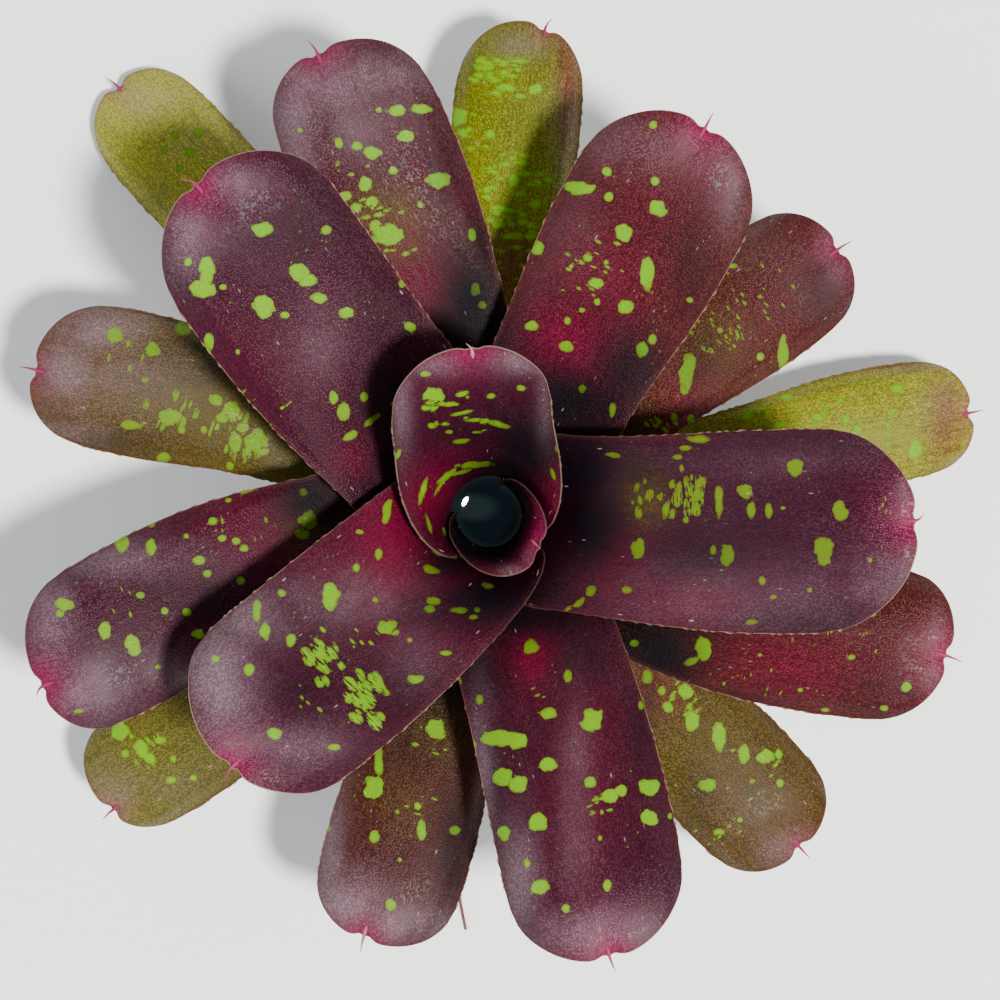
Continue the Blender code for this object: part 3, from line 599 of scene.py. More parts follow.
def note_spots(mesh, spots):
    """Keep, at each face's corners, where it lies from the spot that reaches deepest into it."""
    corners = np.empty(len(mesh.loops), int)
    mesh.loops.foreach_get("vertex_index", corners)
    starts = np.empty(len(mesh.polygons), int)
    mesh.polygons.foreach_get("loop_start", starts)
    sizes = np.diff(np.append(starts, len(corners)))
    best = np.full(len(starts), -np.inf)
    found = np.zeros((len(corners), 3))
    for right, up, radius in spots:
        spare = np.full(len(mesh.vertices) - len(right), NOWHERE)
        right = np.append(right, spare)[corners]
        up = np.append(up, spare)[corners]
        middle = np.hypot(np.add.reduceat(right, starts), np.add.reduceat(up, starts)) / sizes
        depth = (1.0 - middle) * abs(radius)
        deeper = depth > best
        best[deeper] = depth[deeper]
        here = np.repeat(deeper, sizes)
        found[here] = np.stack([right, up, np.full(len(corners), radius)], -1)[here]
    attribute = mesh.attributes.new("spot", "FLOAT_VECTOR", "CORNER")
    attribute.data.foreach_set("vector", found.astype(np.float32).ravel())


def soft_patches(patches, sheet):
    """The strength of soft-edged patches over a whole leaf, from 0 to 1."""
    x, y = photo_pixels(sheet.points)
    strength = np.zeros(len(x))
    for middle_x, middle_y, width, height, full in patches:
        away = ((x - middle_x) / width) ** 2 + ((y - middle_y) / height) ** 2
        strength = np.maximum(strength, full * np.exp(-SOFT_FALL * away))
    return strength


def finish_mesh(name, bm, material):
    """Turn a bmesh into a piece that rides on the plant."""
    mesh = bpy.data.meshes.new(name)
    bm.to_mesh(mesh)
    bm.free()
    mesh.shade_smooth()
    mesh.set_sharp_from_angle(angle=math.radians(SMOOTH_ANGLE))
    mesh.materials.append(material)
    piece = bpy.data.objects.new(name, mesh)
    bpy.context.scene.collection.objects.link(piece)
    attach(piece, "root")
    return piece


def note(mesh, name, values):
    """Keep one number, or a row of three, at each of a mesh's points."""
    kind, key = ("FLOAT", "value") if values.ndim == 1 else ("FLOAT_VECTOR", "vector")
    attribute = mesh.attributes.new(name, kind, "POINT")
    attribute.data.foreach_set(key, values.astype(np.float32).ravel())


def crowd(value, amount):
    """Draw evenly spaced values from -1 to 1 towards both ends."""
    return value + amount * np.sin(math.pi * value) / math.pi


def spine_seat(order):
    """Where a leaf's spine is rooted, its heading, and which way is sideways."""
    line = np.array(FOOT_LINES)
    points = leaf_sheet(order, line, np.array(FOOT_SHARES), np.zeros(len(line))).points
    heading = Vector(points[0] - points[1]).normalized()
    sideways = Vector(points[3] - points[2])
    sideways = (sideways - heading * sideways.dot(heading)).normalized()
    return Vector(points[0]) - heading * (SPINE_ROOT + POINT_LENGTH) * MM, heading, sideways


def add_spine(bm, order):
    """A hooked spine: a ridge that swells on the leaf, thickest at the margin, then a point."""
    base, heading, sideways = spine_seat(order)
    up = heading.cross(sideways)
    young = YOUNG_SPINE.get(order, 1.0)
    length = (SPINE_LENGTH * young + SPINE_ROOT) * MM
    tip_radius = SPINE_RADIUS * MM * math.sqrt(young) * SPINE_TIP
    ring = bmesh.ops.create_circle(bm, cap_ends=True, segments=SPINE_SIDES, radius=tip_radius)
    ring = ring["verts"]
    face = ring[0].link_faces[0]
    stand = Matrix((sideways, up * SPINE_FLATNESS, heading)).transposed()
    place = base + up * SPINE_RIDGE * MM
    for vert in ring:
        vert.co = place + stand @ vert.co
    width = SPINE_TIP
    for step in range(1, SPINE_STEPS + 1):
        share = step / SPINE_STEPS
        bend = math.radians(LEAVES[order - 1].hook) * float(ramp(share, SPINE_BEND))
        course = heading * math.cos(bend) + sideways * math.sin(bend) + up * SPINE_LIFT * share
        face = bmesh.ops.extrude_discrete_faces(bm, faces=[face])["faces"][0]
        middle = place + course.normalized() * length / SPINE_STEPS
        next_width = lerp(1.0, SPINE_TIP, share ** SPINE_TAPER)
        next_width *= lerp(SPINE_TIP, 1.0, float(ramp(share, SPINE_SWELL)))
        for vert in face.verts:
            vert.co = middle + (vert.co - place) * next_width / width
        place = middle
        width = next_width


def flat_slab():
    """A flat grid with a second face one unit above it, closed round its edge."""
    bm = bmesh.new()
    bmesh.ops.create_grid(bm, x_segments=SHEET_LINES, y_segments=SHEET_ROWS, size=1.0)
    upper = bmesh.ops.extrude_face_region(bm, geom=bm.faces[:])["geom"]
    upper = [item for item in upper if isinstance(item, bmesh.types.BMVert)]
    bmesh.ops.translate(bm, verts=upper, vec=(0, 0, 1))
    return bm


def bend_slab(bm, order):
    """Bend a flat slab into a leaf with a toothed margin; gives its sheet and its sides."""
    flat = np.array([vert.co for vert in bm.verts])
    side = 2.0 * flat[:, 2] - 1.0
    line = crowd(flat[:, 0], LINE_CROWDING)
    share_along = (crowd(flat[:, 1], ROW_CROWDING) + 1.0) / 2.0
    row = np.round((flat[:, 1] + 1.0) / 2.0 * SHEET_ROWS).astype(int)
    toothed = np.random.default_rng(order).integers(0, TOOTH_EVERY, SHEET_ROWS + 1) == 0
    margin = np.abs(flat[:, 0]) > MARGIN_LINE
    margin &= (share_along > TOOTH_SPAN[0]) & (share_along < TOOTH_SPAN[1])
    tooth = np.where(margin & toothed[row], TOOTH_LENGTH, 0.0)
    sheet = leaf_sheet(order, line, share_along, side, tooth)
    for vert, point in zip(bm.verts, sheet.points):
        vert.co = point
    return sheet, side


def note_markings(mesh, order, sheet, side):
    """Keep where each point of a leaf lies and how it is marked; its spine's points come last."""
    spine_points = len(mesh.vertices) - len(side)

    def note_all(name, values, on_spine):
        on_spine = np.full((spine_points,) + values.shape[1:], on_spine)
        note(mesh, name, np.concatenate([values, on_spine]))

    off_spine = (sheet.across - LEAVES[order - 1].spine_side) * sheet.half
    note_all("on_sheet", np.stack([sheet.across * sheet.half, sheet.distance, side], -1), 1.0)
    note_all("share", sheet.share, 1.0)
    note_all("underside", np.where(side < 0, 1.0, 0.0), 0.0)
    note_all("rim", sheet.edge, FAR_FROM_RIM)
    note_all("from_spine", np.hypot(off_spine, sheet.length - sheet.distance), 0.0)
    note_all("spine", np.zeros(len(side)), 1.0)
    note_spots(mesh, spots_on(order, sheet))
    for name, patches in SOFT_PATCHES.items():
        note_all(name, soft_patches(patches.get(order, ()), sheet), 0.0)


def build_leaf(order):
    """One fine leaf: a flat slab bent to shape, with its spine and its markings."""
    name = f"leaf_{order:02d}"
    bm = flat_slab()
    sheet, side = bend_slab(bm, order)
    add_spine(bm, order)
    bmesh.ops.recalc_face_normals(bm, faces=bm.faces)
    piece = finish_mesh(name + "_blade", bm, leaf_skin(order))
    note_markings(piece.data, order, sheet, side)
    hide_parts(name)


# Where a colour mix node keeps its share, its two colours and its result.
MIX_SHARE = 0
MIX_FIRST = 6
MIX_SECOND = 7
MIX_RESULT = 2


class Surface:
    """A material's nodes, laid down one by one."""

    def __init__(self, name):
        self.material = bpy.data.materials.new(name)
        self.material.use_nodes = True
        self.tree = self.material.node_tree
        self.shader = self.tree.nodes["Principled BSDF"]

    def feed(self, socket, value):
        """Link a socket, or set it to a plain value."""
        if isinstance(value, bpy.types.NodeSocket):
            self.tree.links.new(value, socket)
        elif isinstance(value, tuple) and socket.type == "RGBA":
            socket.default_value = (*value, 1.0)
        else:
            socket.default_value = value

    def add(self, kind, inputs, output=0, **settings):
        """A node with its inputs fed, by name or number, and one of its outputs."""
        node = self.tree.nodes.new(kind)
        for setting, value in settings.items():
            setattr(node, setting, value)
        for key, value in inputs.items():
            self.feed(node.inputs[key], value)
        return node.outputs[output]

    def read(self, attribute, output="Fac"):
        return self.add("ShaderNodeAttribute", {}, output, attribute_name=attribute)

    def reckon(self, operation, first, second=0.0):
        return self.add("ShaderNodeMath", {0: first, 1: second}, operation=operation)

    def times(self, first, *others):
        for other in others:
            first = self.reckon("MULTIPLY", first, other)
        return first

    def mix(self, share, first, second, blend="MIX"):
        inputs = {MIX_SHARE: share, MIX_FIRST: first, MIX_SECOND: second}
        return self.add("ShaderNodeMix", inputs, MIX_RESULT, data_type="RGBA", blend_type=blend)

    def band(self, value, low, high, start=0.0, end=1.0):
        """Take a value from one span to another, and hold it at the ends."""
        inputs = {"Value": value, "From Min": low, "From Max": high, "To Min": start, "To Max": end}
        return self.add("ShaderNodeMapRange", inputs, clamp=True)

    def stretch(self, vector, x, y, z=1.0):
        return self.add("ShaderNodeVectorMath", {0: vector, 1: (x, y, z)}, operation="MULTIPLY")

    def length(self, vector):
        return self.add("ShaderNodeVectorMath", {0: vector}, "Value", operation="LENGTH")

    def noise(self, vector, scale, detail, rough):
        inputs = {"Vector": vector, "Scale": scale, "Detail": detail, "Roughness": rough}
        return self.add("ShaderNodeTexNoise", inputs)

    def bump(self, height, distance):
        return self.add("ShaderNodeBump", {"Height": height, "Distance": distance})

    def set(self, **values):
        """Feed the shader's own sockets, named with _ for spaces."""
        for key, value in values.items():
            self.feed(self.shader.inputs[key.replace("_", " ")], value)


# Noise on a leaf: how fine it is across and along, in turns per millimetre, its detail and
# its roughness. Dots likewise, with how many there are.
Grain = namedtuple("Grain", "across along detail rough")
PATCHY = Grain(0.035, 0.012, 1.0, 0.55)
STREAKY = Grain(0.9, 0.03, 2.0, 0.55)
FLECKED = Grain(0.55, 0.30, 3.0, 0.7)
FIBROUS = Grain(2.4, 0.4, 2.0, 0.7)
DUSTY = Grain(0.06, 0.045, 4.0, 0.65)
RAGGED = Grain(0.36, 0.30, 1.0, 0.4)
STRIPED = Grain(0.25, 1.6, 2.0, 0.55)
SPECKLED = Grain(0.08, 0.06, 1.0, 0.55)
SCURFY = Grain(0.02, 0.16, 2.0, 0.55)
RIPPLED = Grain(0.5, 0.2, 1.0, 0.55)
Dots = namedtuple("Dots", "across along scale")
PEBBLES = Dots(1.8, 1.35, 1.0)
SPECKS = Dots(1.0, 0.8, 0.42)
SCRATCHES = Dots(0.9, 0.24, 0.35)

# How strongly each coat covers: the span of its grain or measure, and what it becomes.
PEBBLE_EDGE = (0.05, 0.62, 1.0, 0.0)
HAZY = 0.5
# Each leaf starts blue-black at its foot, partly dark pigment and partly painted shade of the cup.
HAZY_ROOT = 0.6
PLAIN_ROOT = 0.15
BASE_SPAN = (0.34, 0.50)
MIDDLE_SPAN = (0.44, 0.64)
END_SPAN = (0.70, 0.98)
WINE_PATCHES = (0.35, 0.70, 0.0, 0.35)
HAZE_FLECKS = (0.25, 0.62, 0.25, 1.0)
GLOW_STREAKS = (0.30, 0.75, 0.75, 1.0)
MOTTLE_FLECKS = (0.42, 0.60)
MOTTLE_COVER = 0.55
INK_STREAKS = (0.45, 0.75, 0.0, 0.30)
ROSE_FALL = 0.17
HAZED_ROSE_FALL = 0.2
ROSE_PATCHES = (0.2, 0.6, 0.75, 1.0)
GRIT = ((0.62, 0.62, 0.62), (1.55, 1.5, 1.5))
FIBRE = ((0.8, 0.8, 0.8), (1.2, 1.2, 1.2))
FIBRE_SPAN = (0.3, 0.7)
SPOT_OUTLINE = (0.25, 0.75, 0.74, 1.24)
BROKEN_SIDE = (-0.01, 0.01, 0.9, 0.0)
STRIPE_EDGE = (0.53, 0.66)
SPOT_EDGE = (-0.10, 0.16)
SPOT_FLECKS = (0.35, 0.7, 0.0, 0.5)
SPOT_RIND = (0.05, 0.8, 0.5, 0.0)
SPOT_SPAN = (0.30, 0.60)
SHELTERED_DULLNESS = 0.6
SPOT_COVER = 0.96
SPECK_EDGE = (0.09, 0.15, 1.0, 0.0)
SPECK_PLACES = (0.52, 0.66)
SPECK_COVER = 0.65
PAINTED_SHADE_ON_SPOTS = (0.0, 1.0, 0.96, 0.75)
SPOTS_UNDER_DUST_AND_SHEEN = (0.0, 1.0, 1.0, 0.25)
DUST_PLACES = (0.48, 0.80)
DUST_THICKNESS = 0.50
DUST_SPAN = (0.42, 0.66)
DUST_COVER = 0.24
SHEEN_PEBBLES = (0.0, 0.9, 0.52, 1.0)
SHEEN_ON_ROSE = (0.1, 0.6, 1.0, 0.25)
SHEEN_PLACES = (0.30, 0.60, 0.45, 1.0)
SHEEN_COVER = 0.60
SCRATCH_EDGE = (0.04, 0.09, 1.0, 0.0)
SCRATCH_PLACES = (0.45, 0.60)
SCRATCH_COVER = 0.75
RUSTY_RIM = (0.4, 1.8, 0.30, 0.0)
PALE_RIM = (0.05, 0.24)
PALE_RIM_FOOT_SHADE = (0.44, 0.66, 0.15, 1.0)
UNDERSIDE_PLUM = 0.45
SCURF_PLACES = (0.40, 0.60, 0.10, 0.45)
SCALE_PEBBLES = (0.2, 1.0, 0.0, 0.25)
SKIN_ROUGHNESS = (0.30, 0.75, 0.30, 0.46)
UNDERSIDE_ROUGHNESS = 0.18
SHADED_ROUGHNESS = 0.22
FIBRE_HEIGHT = 0.4
PEBBLE_HEIGHT = 0.8
RIPPLE_HEIGHT = 1.2
SKIN_RELIEF = 0.00014
SKIN_IOR = 1.40
SKIN_SPECULAR = 0.13


class Skin(Surface):
    """The waxy skin of one leaf, laid on in coats that share its grains."""

    def __init__(self, order):
        super().__init__(f"leaf_{order:02d}_skin")
        self.order = order
        self.look = LOOKS[order]
        self.place = self.read("on_sheet", "Vector")
        self.share = self.read("share")
        self.painted_shade = self.read("painted_shade")
        self.patchy = self.grain(PATCHY)
        self.streaks = self.grain(STREAKY)
        self.flecks = self.grain(FLECKED)
        self.fibre = self.grain(FIBROUS)
        self.dust = self.grain(DUSTY)
        self.pebbles = self.band(self.dots(PEBBLES), *PEBBLE_EDGE)
        fall = -ROSE_FALL - HAZED_ROSE_FALL * self.look.hazed
        self.near_spine = self.reckon("POWER", math.e, self.times(self.read("from_spine"), fall))
        self.colour = INK_AND_SHADE

    def grain(self, kind):
        place = self.stretch(self.place, kind.across, kind.along)
        return self.noise(place, 1.0, kind.detail, kind.rough)

    def dots(self, kind):
        """Distance to the nearest of many scattered dots."""
        place = self.stretch(self.place, kind.across, kind.along)
        return self.add("ShaderNodeTexVoronoi", {"Vector": place, "Scale": kind.scale}, "Distance")

    def coat(self, cover, pigment, blend="MIX"):
        """Lay a pigment over the colour so far."""
        self.colour = self.mix(cover, self.colour, pigment, blend)


def lay_ground(skin):
    """Pigment along the leaf from a blue-black foot, partly dark pigment and partly painted shade;
    its haze; red glows, partly painted light through the leaf; mottling and streaks, the pink end,
    and grain.
    """
    look = skin.look
    skin.coat(HAZY_ROOT if look.hazed >= HAZY else PLAIN_ROOT, look.base)
    skin.coat(skin.band(skin.share, *BASE_SPAN), look.base)
    skin.coat(skin.band(skin.share, *MIDDLE_SPAN), look.middle)
    skin.coat(skin.band(skin.share, *END_SPAN), look.end)
    skin.coat(skin.band(skin.patchy, *WINE_PATCHES), WINE)
    haze = skin.reckon("MAXIMUM", skin.read("haze"), look.hazed)
    skin.coat(skin.times(haze, skin.band(skin.flecks, *HAZE_FLECKS)), look.haze)
    # Red glows: partly the leaf's own crimson, partly painted light shining through the leaf.
    skin.coat(skin.times(skin.read("glow"), skin.band(skin.streaks, *GLOW_STREAKS)), RUBY)
    mottle = skin.times(skin.band(skin.flecks, *MOTTLE_FLECKS), look.flecked * MOTTLE_COVER)
    skin.coat(mottle, RUST if look.hazed else MAHOGANY)
    skin.coat(skin.band(skin.streaks, *INK_STREAKS), INK_AND_SHADE)
    skin.coat(skin.times(skin.near_spine, skin.band(skin.patchy, *ROSE_PATCHES)), ROSE)
    skin.coat(1.0, skin.mix(skin.pebbles, *GRIT), "MULTIPLY")
    skin.coat(1.0, skin.mix(skin.band(skin.fibre, *FIBRE_SPAN), *FIBRE), "MULTIPLY")


def lay_spots(skin):
    """Crisp lime spots, those that stripes break up, and specks, with the painted shade over all.

    Gives how far each place is spotted.
    """
    offset = skin.read("spot", "Vector")
    radius = skin.add("ShaderNodeSeparateXYZ", {0: offset}, "Z")
    away = skin.length(skin.stretch(offset, 1.0, 1.0, 0.0))
    inward = skin.reckon("SUBTRACT", skin.band(skin.grain(RAGGED), *SPOT_OUTLINE), away)
    stripes = skin.band(skin.grain(STRIPED), *STRIPE_EDGE)
    inward = skin.reckon("SUBTRACT", inward, skin.times(skin.band(radius, *BROKEN_SIDE), stripes))
    depth = skin.times(inward, skin.reckon("ABSOLUTE", radius))
    spotted = skin.band(depth, *SPOT_EDGE)
    dull = DULL_SPOTS.get(skin.order, 0.0)
    lime = skin.mix(skin.band(skin.flecks, *SPOT_FLECKS), LIME, CITRON)
    lime = skin.mix(skin.band(depth, *SPOT_RIND), lime, OLIVE)
    dullness = skin.band(skin.share, *SPOT_SPAN, max(dull, SHELTERED_DULLNESS), dull)
    lime = skin.mix(dullness, lime, OLIVE)
    skin.coat(skin.times(spotted, SPOT_COVER), lime)
    specks = skin.band(skin.dots(SPECKS), *SPECK_EDGE)
    places = skin.band(skin.grain(SPECKLED), *SPECK_PLACES)
    skin.coat(skin.times(specks, places, SPECK_COVER), lime)
    # Painted shade, laid over the leaf and its spots where it lies in shade.
    skin.coat(skin.times(skin.painted_shade, skin.band(spotted, *PAINTED_SHADE_ON_SPOTS)), INK_AND_SHADE)
    return spotted


def lay_dust_and_sheen(skin, spotted):
    """Pale dust on the blade, a painted sheen of silvery highlights, and small scratches."""
    bare = skin.band(spotted, *SPOTS_UNDER_DUST_AND_SHEEN)
    dust = skin.band(skin.dust, *DUST_PLACES, 0.0, DUST_THICKNESS * skin.look.waxy)
    dust = skin.times(skin.pebbles, dust, bare, skin.band(skin.share, *DUST_SPAN), DUST_COVER)
    skin.coat(dust, CREAM)
    # Painted sheen: silvery highlights laid into the colour.
    wax = skin.times(skin.read("wax"), skin.band(skin.pebbles, *SHEEN_PEBBLES))
    wax = skin.times(wax, skin.band(skin.near_spine, *SHEEN_ON_ROSE))
    wax = skin.times(wax, bare, skin.band(skin.dust, *SHEEN_PLACES), SHEEN_COVER)
    skin.coat(wax, SHEEN_SILVER)
    scratches = skin.band(skin.dots(SCRATCHES), *SCRATCH_EDGE)
    places = skin.band(skin.dust, *SCRATCH_PLACES)
    skin.coat(skin.times(scratches, places, SCRATCH_COVER), CREAM)


def lay_margin(skin):
    """A rusty line inside the margin, its thin pale edge, dimmed towards the foot and on leaf 1 as
    painted shade, and the spine.
    """
    rim = skin.read("rim")
    skin.coat(skin.band(rim, *RUSTY_RIM), RUST)
    paleness = RIM_PALENESS.get(skin.order, USUAL_RIM_PALENESS)
    pale = skin.band(rim, *PALE_RIM, paleness, 0.0)
    # The pale edge fades towards the foot: painted shade.
    skin.coat(skin.times(pale, skin.band(skin.share, *PALE_RIM_FOOT_SHADE)), TAN)
    paleness = SPINE_PALENESS.get(skin.order, USUAL_SPINE_PALENESS)
    skin.coat(skin.read("spine"), skin.mix(paleness, MAGENTA, PETAL))


def lay_underside(skin, under):
    """The lower face, with grey bands of scurf and small pale scales."""
    scurf = skin.band(skin.grain(SCURFY), *SCURF_PLACES)
    colour = skin.mix(scurf, skin.mix(UNDERSIDE_PLUM, skin.colour, PLUM), SCURF)
    skin.coat(under, skin.mix(skin.band(skin.pebbles, *SCALE_PEBBLES), colour, CREAM))


def leaf_skin(order):
    """The whole skin of one leaf, coloured by where it lies and by its attributes."""
    skin = Skin(order)
    lay_ground(skin)
    lay_dust_and_sheen(skin, lay_spots(skin))
    lay_margin(skin)
    under = skin.read("underside")
    lay_underside(skin, under)
    rough = skin.band(skin.dust, *SKIN_ROUGHNESS)
    rough = skin.reckon("ADD", rough, skin.times(under, UNDERSIDE_ROUGHNESS))
    rough = skin.reckon("ADD", rough, skin.times(skin.painted_shade, SHADED_ROUGHNESS))
    pebbly = skin.times(skin.pebbles, PEBBLE_HEIGHT)
    height = skin.reckon("ADD", skin.times(skin.fibre, FIBRE_HEIGHT), pebbly)
    height = skin.reckon("ADD", height, skin.times(skin.grain(RIPPLED), RIPPLE_HEIGHT))
    skin.set(Base_Color=skin.colour, Roughness=rough, Normal=skin.bump(height, SKIN_RELIEF),
             IOR=SKIN_IOR, Specular_IOR_Level=SKIN_SPECULAR)
    return skin.material


# The water in the cup: its level, and how it climbs the leaves that hold it.
WATER_LEVEL = 76.0
WATER_SINK = 1.2
WATER_CLIMB = 1.9
CAPILLARY_LENGTH = 4.2
WATER_RINGS = 36
WATER_SIDES = 144
WATER_DEPTH = 30.0
WATER_FOOT_SHARE = 0.6
WATER_MERGE = 0.0001
CUP_LEAVES = (1, 2)
DEEP_WATER = (0.0002, 0.0014, 0.0022)
CLEAR_WATER = (0.0008, 0.0032, 0.0044)
WATER_NOISE = (160.0, 2.0, 0.55)
WATER_ROUGHNESS = 0.03
WATER_IOR = 1.33
# A painted reflection: a soft lighter teal patch laid into the water's colour.
REFLECTION_PLACE = (-0.0045, 0.0025, 0.0755)
REFLECTION_STRETCH = (1.0, 1.6)
REFLECTION_EDGE = (0.0045, 0.0085, 0.8, 0.0)
REFLECTION_COLOUR = (0.0060, 0.0120, 0.0130)


def water_wall(turn):
    """Radius of the leaf that holds the water, in a direction round the axis."""
    radii = []
    for order in CUP_LEAVES:
        distances, leaf_radii, heights, _ = profile(order)
        at = float(np.interp(WATER_LEVEL, heights, distances))
        radius = float(np.interp(at, distances, leaf_radii))
        length = float(np.interp(LEAVES[order - 1].reach, leaf_radii, distances))
        reach = float(half_turn(order, np.array(at / length), np.array(radius)))
        off = (turn - math.radians(LEAVES[order - 1].base_turn) + math.pi) % math.tau - math.pi
        if abs(off) < reach:
            radii.append(radius)
    return min(radii, default=radius)


def water_skin():
    """Dark still water, with a painted reflection: a faint lighter teal patch on its colour."""
    water = Surface("still_water")
    place = water.add("ShaderNodeTexCoord", {}, "Object")
    colour = water.mix(water.noise(place, *WATER_NOISE), DEEP_WATER, CLEAR_WATER)
    beside = water.add("ShaderNodeVectorMath", {0: place, 1: REFLECTION_PLACE}, operation="SUBTRACT")
    reflection = water.length(water.stretch(beside, *REFLECTION_STRETCH))
    colour = water.mix(water.band(reflection, *REFLECTION_EDGE), colour, REFLECTION_COLOUR)
    water.set(Base_Color=colour, Roughness=WATER_ROUGHNESS, IOR=WATER_IOR)
    return water.material


def build_water():
    """Still dark water with a curved rim, down to where it can't be seen."""
    bm = bmesh.new()
    outline = [(ring / WATER_RINGS, 1.0) for ring in range(WATER_RINGS + 1)]
    outline += [(WATER_FOOT_SHARE, 0.0), (0.0, 0.0)]
    verts = [bm.verts.new((share, 0.0, upper)) for share, upper in outline]
    edges = [bm.edges.new(pair) for pair in zip(verts, verts[1:])]
    bmesh.ops.spin(bm, geom=verts + edges, angle=math.tau, steps=WATER_SIDES, axis=(0, 0, 1),
                   use_merge=True)
    bmesh.ops.remove_doubles(bm, verts=bm.verts, dist=WATER_MERGE)
    for vert in bm.verts:
        turn = math.atan2(vert.co.y, vert.co.x)
        wall = water_wall(turn)
        radius = wall * math.hypot(vert.co.x, vert.co.y)
        climb = WATER_CLIMB * math.exp((radius - wall) / CAPILLARY_LENGTH)
        upper = round(vert.co.z) == 1
        height = WATER_LEVEL - WATER_SINK + climb if upper else WATER_LEVEL - WATER_DEPTH
        vert.co = Vector((radius * math.cos(turn), radius * math.sin(turn), height)) * MM
    bmesh.ops.recalc_face_normals(bm, faces=bm.faces)
    piece = finish_mesh("cup_water", bm, water_skin())
    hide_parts("tank_water")


# Bark and root fibre: colour, deep colour and fineness of each node that keeps its solid.
WOODS = {
    "stem": ((0.16, 0.10, 0.06), (0.06, 0.035, 0.02), 180.0),
    "trailing_root": ((0.22, 0.09, 0.05), (0.08, 0.03, 0.02), 400.0),
}
RING_STRETCH = (0.25, 0.25, 3.0)
RING_NOISE = (6.0, 0.65)
RING_EDGE = (0.35, 0.65)
FIBRE_STRETCH = (1.0, 1.0, 0.35)
FIBRE_FINENESS = 4.0
FIBRE_NOISE = (4.0, 0.7)
PALE_FIBRE = (0.5, 0.75, 0.0, 0.5)
FIBRE_RELIEF = 0.5
WOOD_ROUGHNESS = (0.3, 0.7, 0.75, 0.95)
WOOD_RELIEF = 0.0006


def dress_wood(node, colour, deep, scale):
    """Dry bark or root fibre over a solid that keeps its own shape."""
    bark = Surface(node + "_bark")
    place = bark.add("ShaderNodeTexCoord", {}, "Object")
    rings = bark.noise(bark.stretch(place, *RING_STRETCH), scale, *RING_NOISE)
    fibres = bark.stretch(place, *FIBRE_STRETCH)
    fibres = bark.noise(fibres, scale * FIBRE_FINENESS, *FIBRE_NOISE)
    tone = bark.mix(bark.band(rings, *RING_EDGE), deep, colour)
    tone = bark.mix(bark.band(fibres, *PALE_FIBRE), tone, TAN)
    height = bark.reckon("ADD", rings, bark.times(fibres, FIBRE_RELIEF))
    bark.set(Base_Color=tone, Roughness=bark.band(fibres, *WOOD_ROUGHNESS),
             Normal=bark.bump(height, WOOD_RELIEF))
    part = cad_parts[node]
    part.data.materials.clear()
    part.data.materials.append(bark.material)


# The stage: a pale floor, a broad key from the photograph's lower right, and a bright room.
FLOOR_SIZE = 6.0
FLOOR_COLOURS = ((0.86, 0.86, 0.86), (0.90, 0.90, 0.90))
FLOOR_NOISE = (300.0, 3.0, 0.55)
FLOOR_ROUGHNESS = 0.9
Lamp = namedtuple("Lamp", "turn from_zenith distance size power colour")
LAMPS = {
    "key": Lamp(-30.0, 19.0, 2.4, 0.28, 130.0, (1.0, 0.97, 0.93)),
    "fill": Lamp(195.0, 60.0, 2.2, 1.3, 16.0, (0.90, 0.94, 1.0)),
}
ROOM_LOW = (1.0, 1.0, 1.0, 1.0)
ROOM_HIGH = (0.10, 0.11, 0.13, 1.0)
ROOM_RISE = (0.1, 0.9)
ROOM_STRENGTH = 1.9


def build_stage():
    bm = bmesh.new()
    bmesh.ops.create_grid(bm, x_segments=1, y_segments=1, size=FLOOR_SIZE / 2.0)
    mesh = bpy.data.meshes.new("floor")
    bm.to_mesh(mesh)
    bm.free()
    paper = Surface("pale_floor")
    place = paper.add("ShaderNodeTexCoord", {}, "Object")
    colour = paper.mix(paper.noise(place, *FLOOR_NOISE), *FLOOR_COLOURS)
    paper.set(Base_Color=colour, Roughness=FLOOR_ROUGHNESS)
    mesh.materials.append(paper.material)
    floor = bpy.data.objects.new("floor", mesh)
    bpy.context.scene.collection.objects.link(floor)


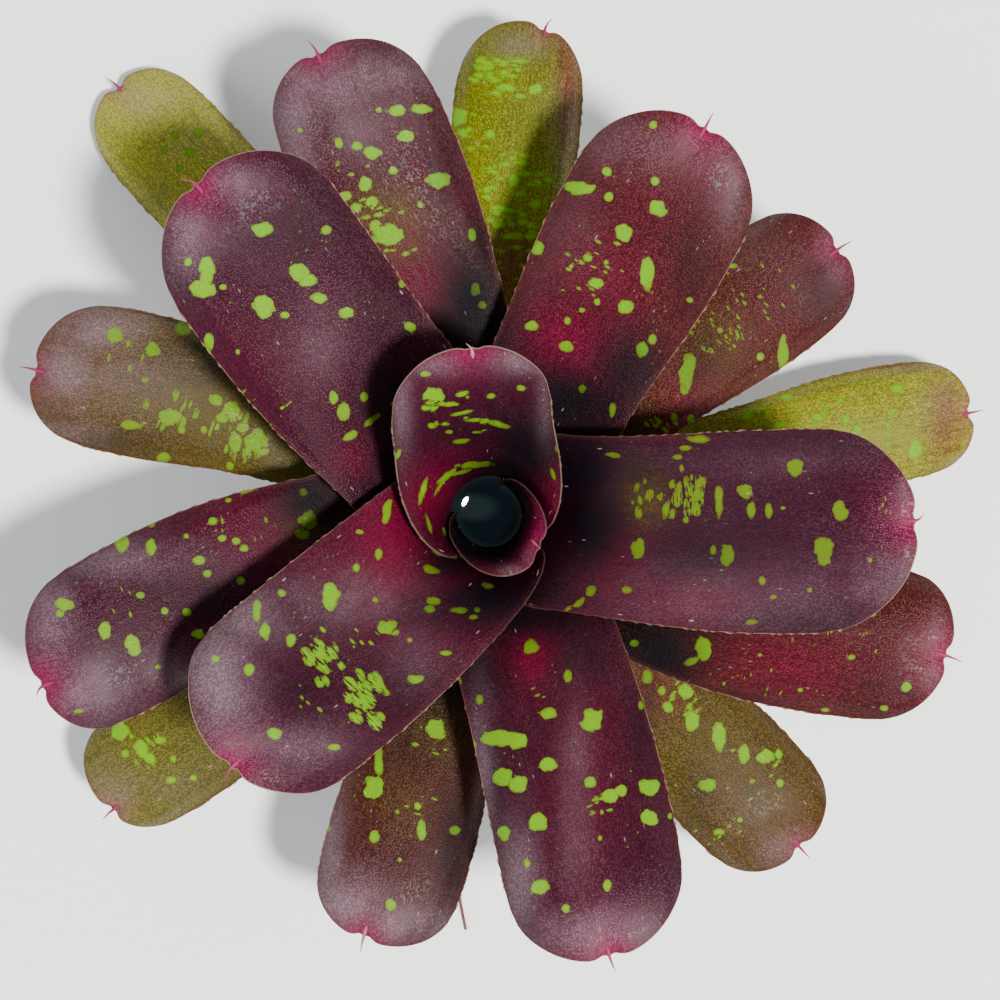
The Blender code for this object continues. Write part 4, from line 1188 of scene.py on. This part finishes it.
def add_lamp(name, row):
    """A round soft light that faces the plant."""
    lamp = bpy.data.lights.new(name, "AREA")
    lamp.shape = "DISK"
    lamp.size = row.size
    lamp.energy = row.power
    lamp.color = row.colour
    light = bpy.data.objects.new(name, lamp)
    turn = math.radians(row.turn)
    tilt = math.radians(row.from_zenith)
    level = math.sin(tilt)
    away = Vector((level * math.cos(turn), level * math.sin(turn), math.cos(tilt)))
    light.location = away * row.distance
    light.rotation_euler = away.to_track_quat("Z", "Y").to_euler()
    bpy.context.scene.collection.objects.link(light)


def build_room():
    """Soft light from all round, bright at the sides and dim overhead."""
    world = bpy.data.worlds.new("bright_room")
    world.use_nodes = True
    bpy.context.scene.world = world
    nodes = world.node_tree.nodes
    links = world.node_tree.links
    where = nodes.new("ShaderNodeTexCoord")
    split = nodes.new("ShaderNodeSeparateXYZ")
    links.new(where.outputs["Generated"], split.inputs[0])
    rise = nodes.new("ShaderNodeMapRange")
    rise.inputs["From Min"].default_value, rise.inputs["From Max"].default_value = ROOM_RISE
    links.new(split.outputs["Z"], rise.inputs["Value"])
    sky = nodes.new("ShaderNodeMix")
    sky.data_type = "RGBA"
    sky.inputs[MIX_FIRST].default_value = ROOM_LOW
    sky.inputs[MIX_SECOND].default_value = ROOM_HIGH
    links.new(rise.outputs[0], sky.inputs[MIX_SHARE])
    back = nodes["Background"]
    links.new(sky.outputs[MIX_RESULT], back.inputs["Color"])
    back.inputs["Strength"].default_value = ROOM_STRENGTH


def build_camera():
    lens = bpy.data.cameras.new("camera")
    lens.sensor_width = SENSOR_WIDTH
    lens.lens = SENSOR_WIDTH * PHOTO_SCALE / PHOTO_WIDTH
    camera = bpy.data.objects.new("camera", lens)
    camera.location = Vector((CAMERA_X, CAMERA_Y, CAMERA_HEIGHT)) * MM
    bpy.context.scene.collection.objects.link(camera)
    bpy.context.scene.camera = camera


for leaf_order in range(1, len(LEAVES) + 1):
    build_leaf(leaf_order)
build_water()
for wood_node, wood in WOODS.items():
    dress_wood(wood_node, *wood)
build_stage()
for lamp_name, lamp_row in LAMPS.items():
    add_lamp(lamp_name, lamp_row)
build_room()
build_camera()
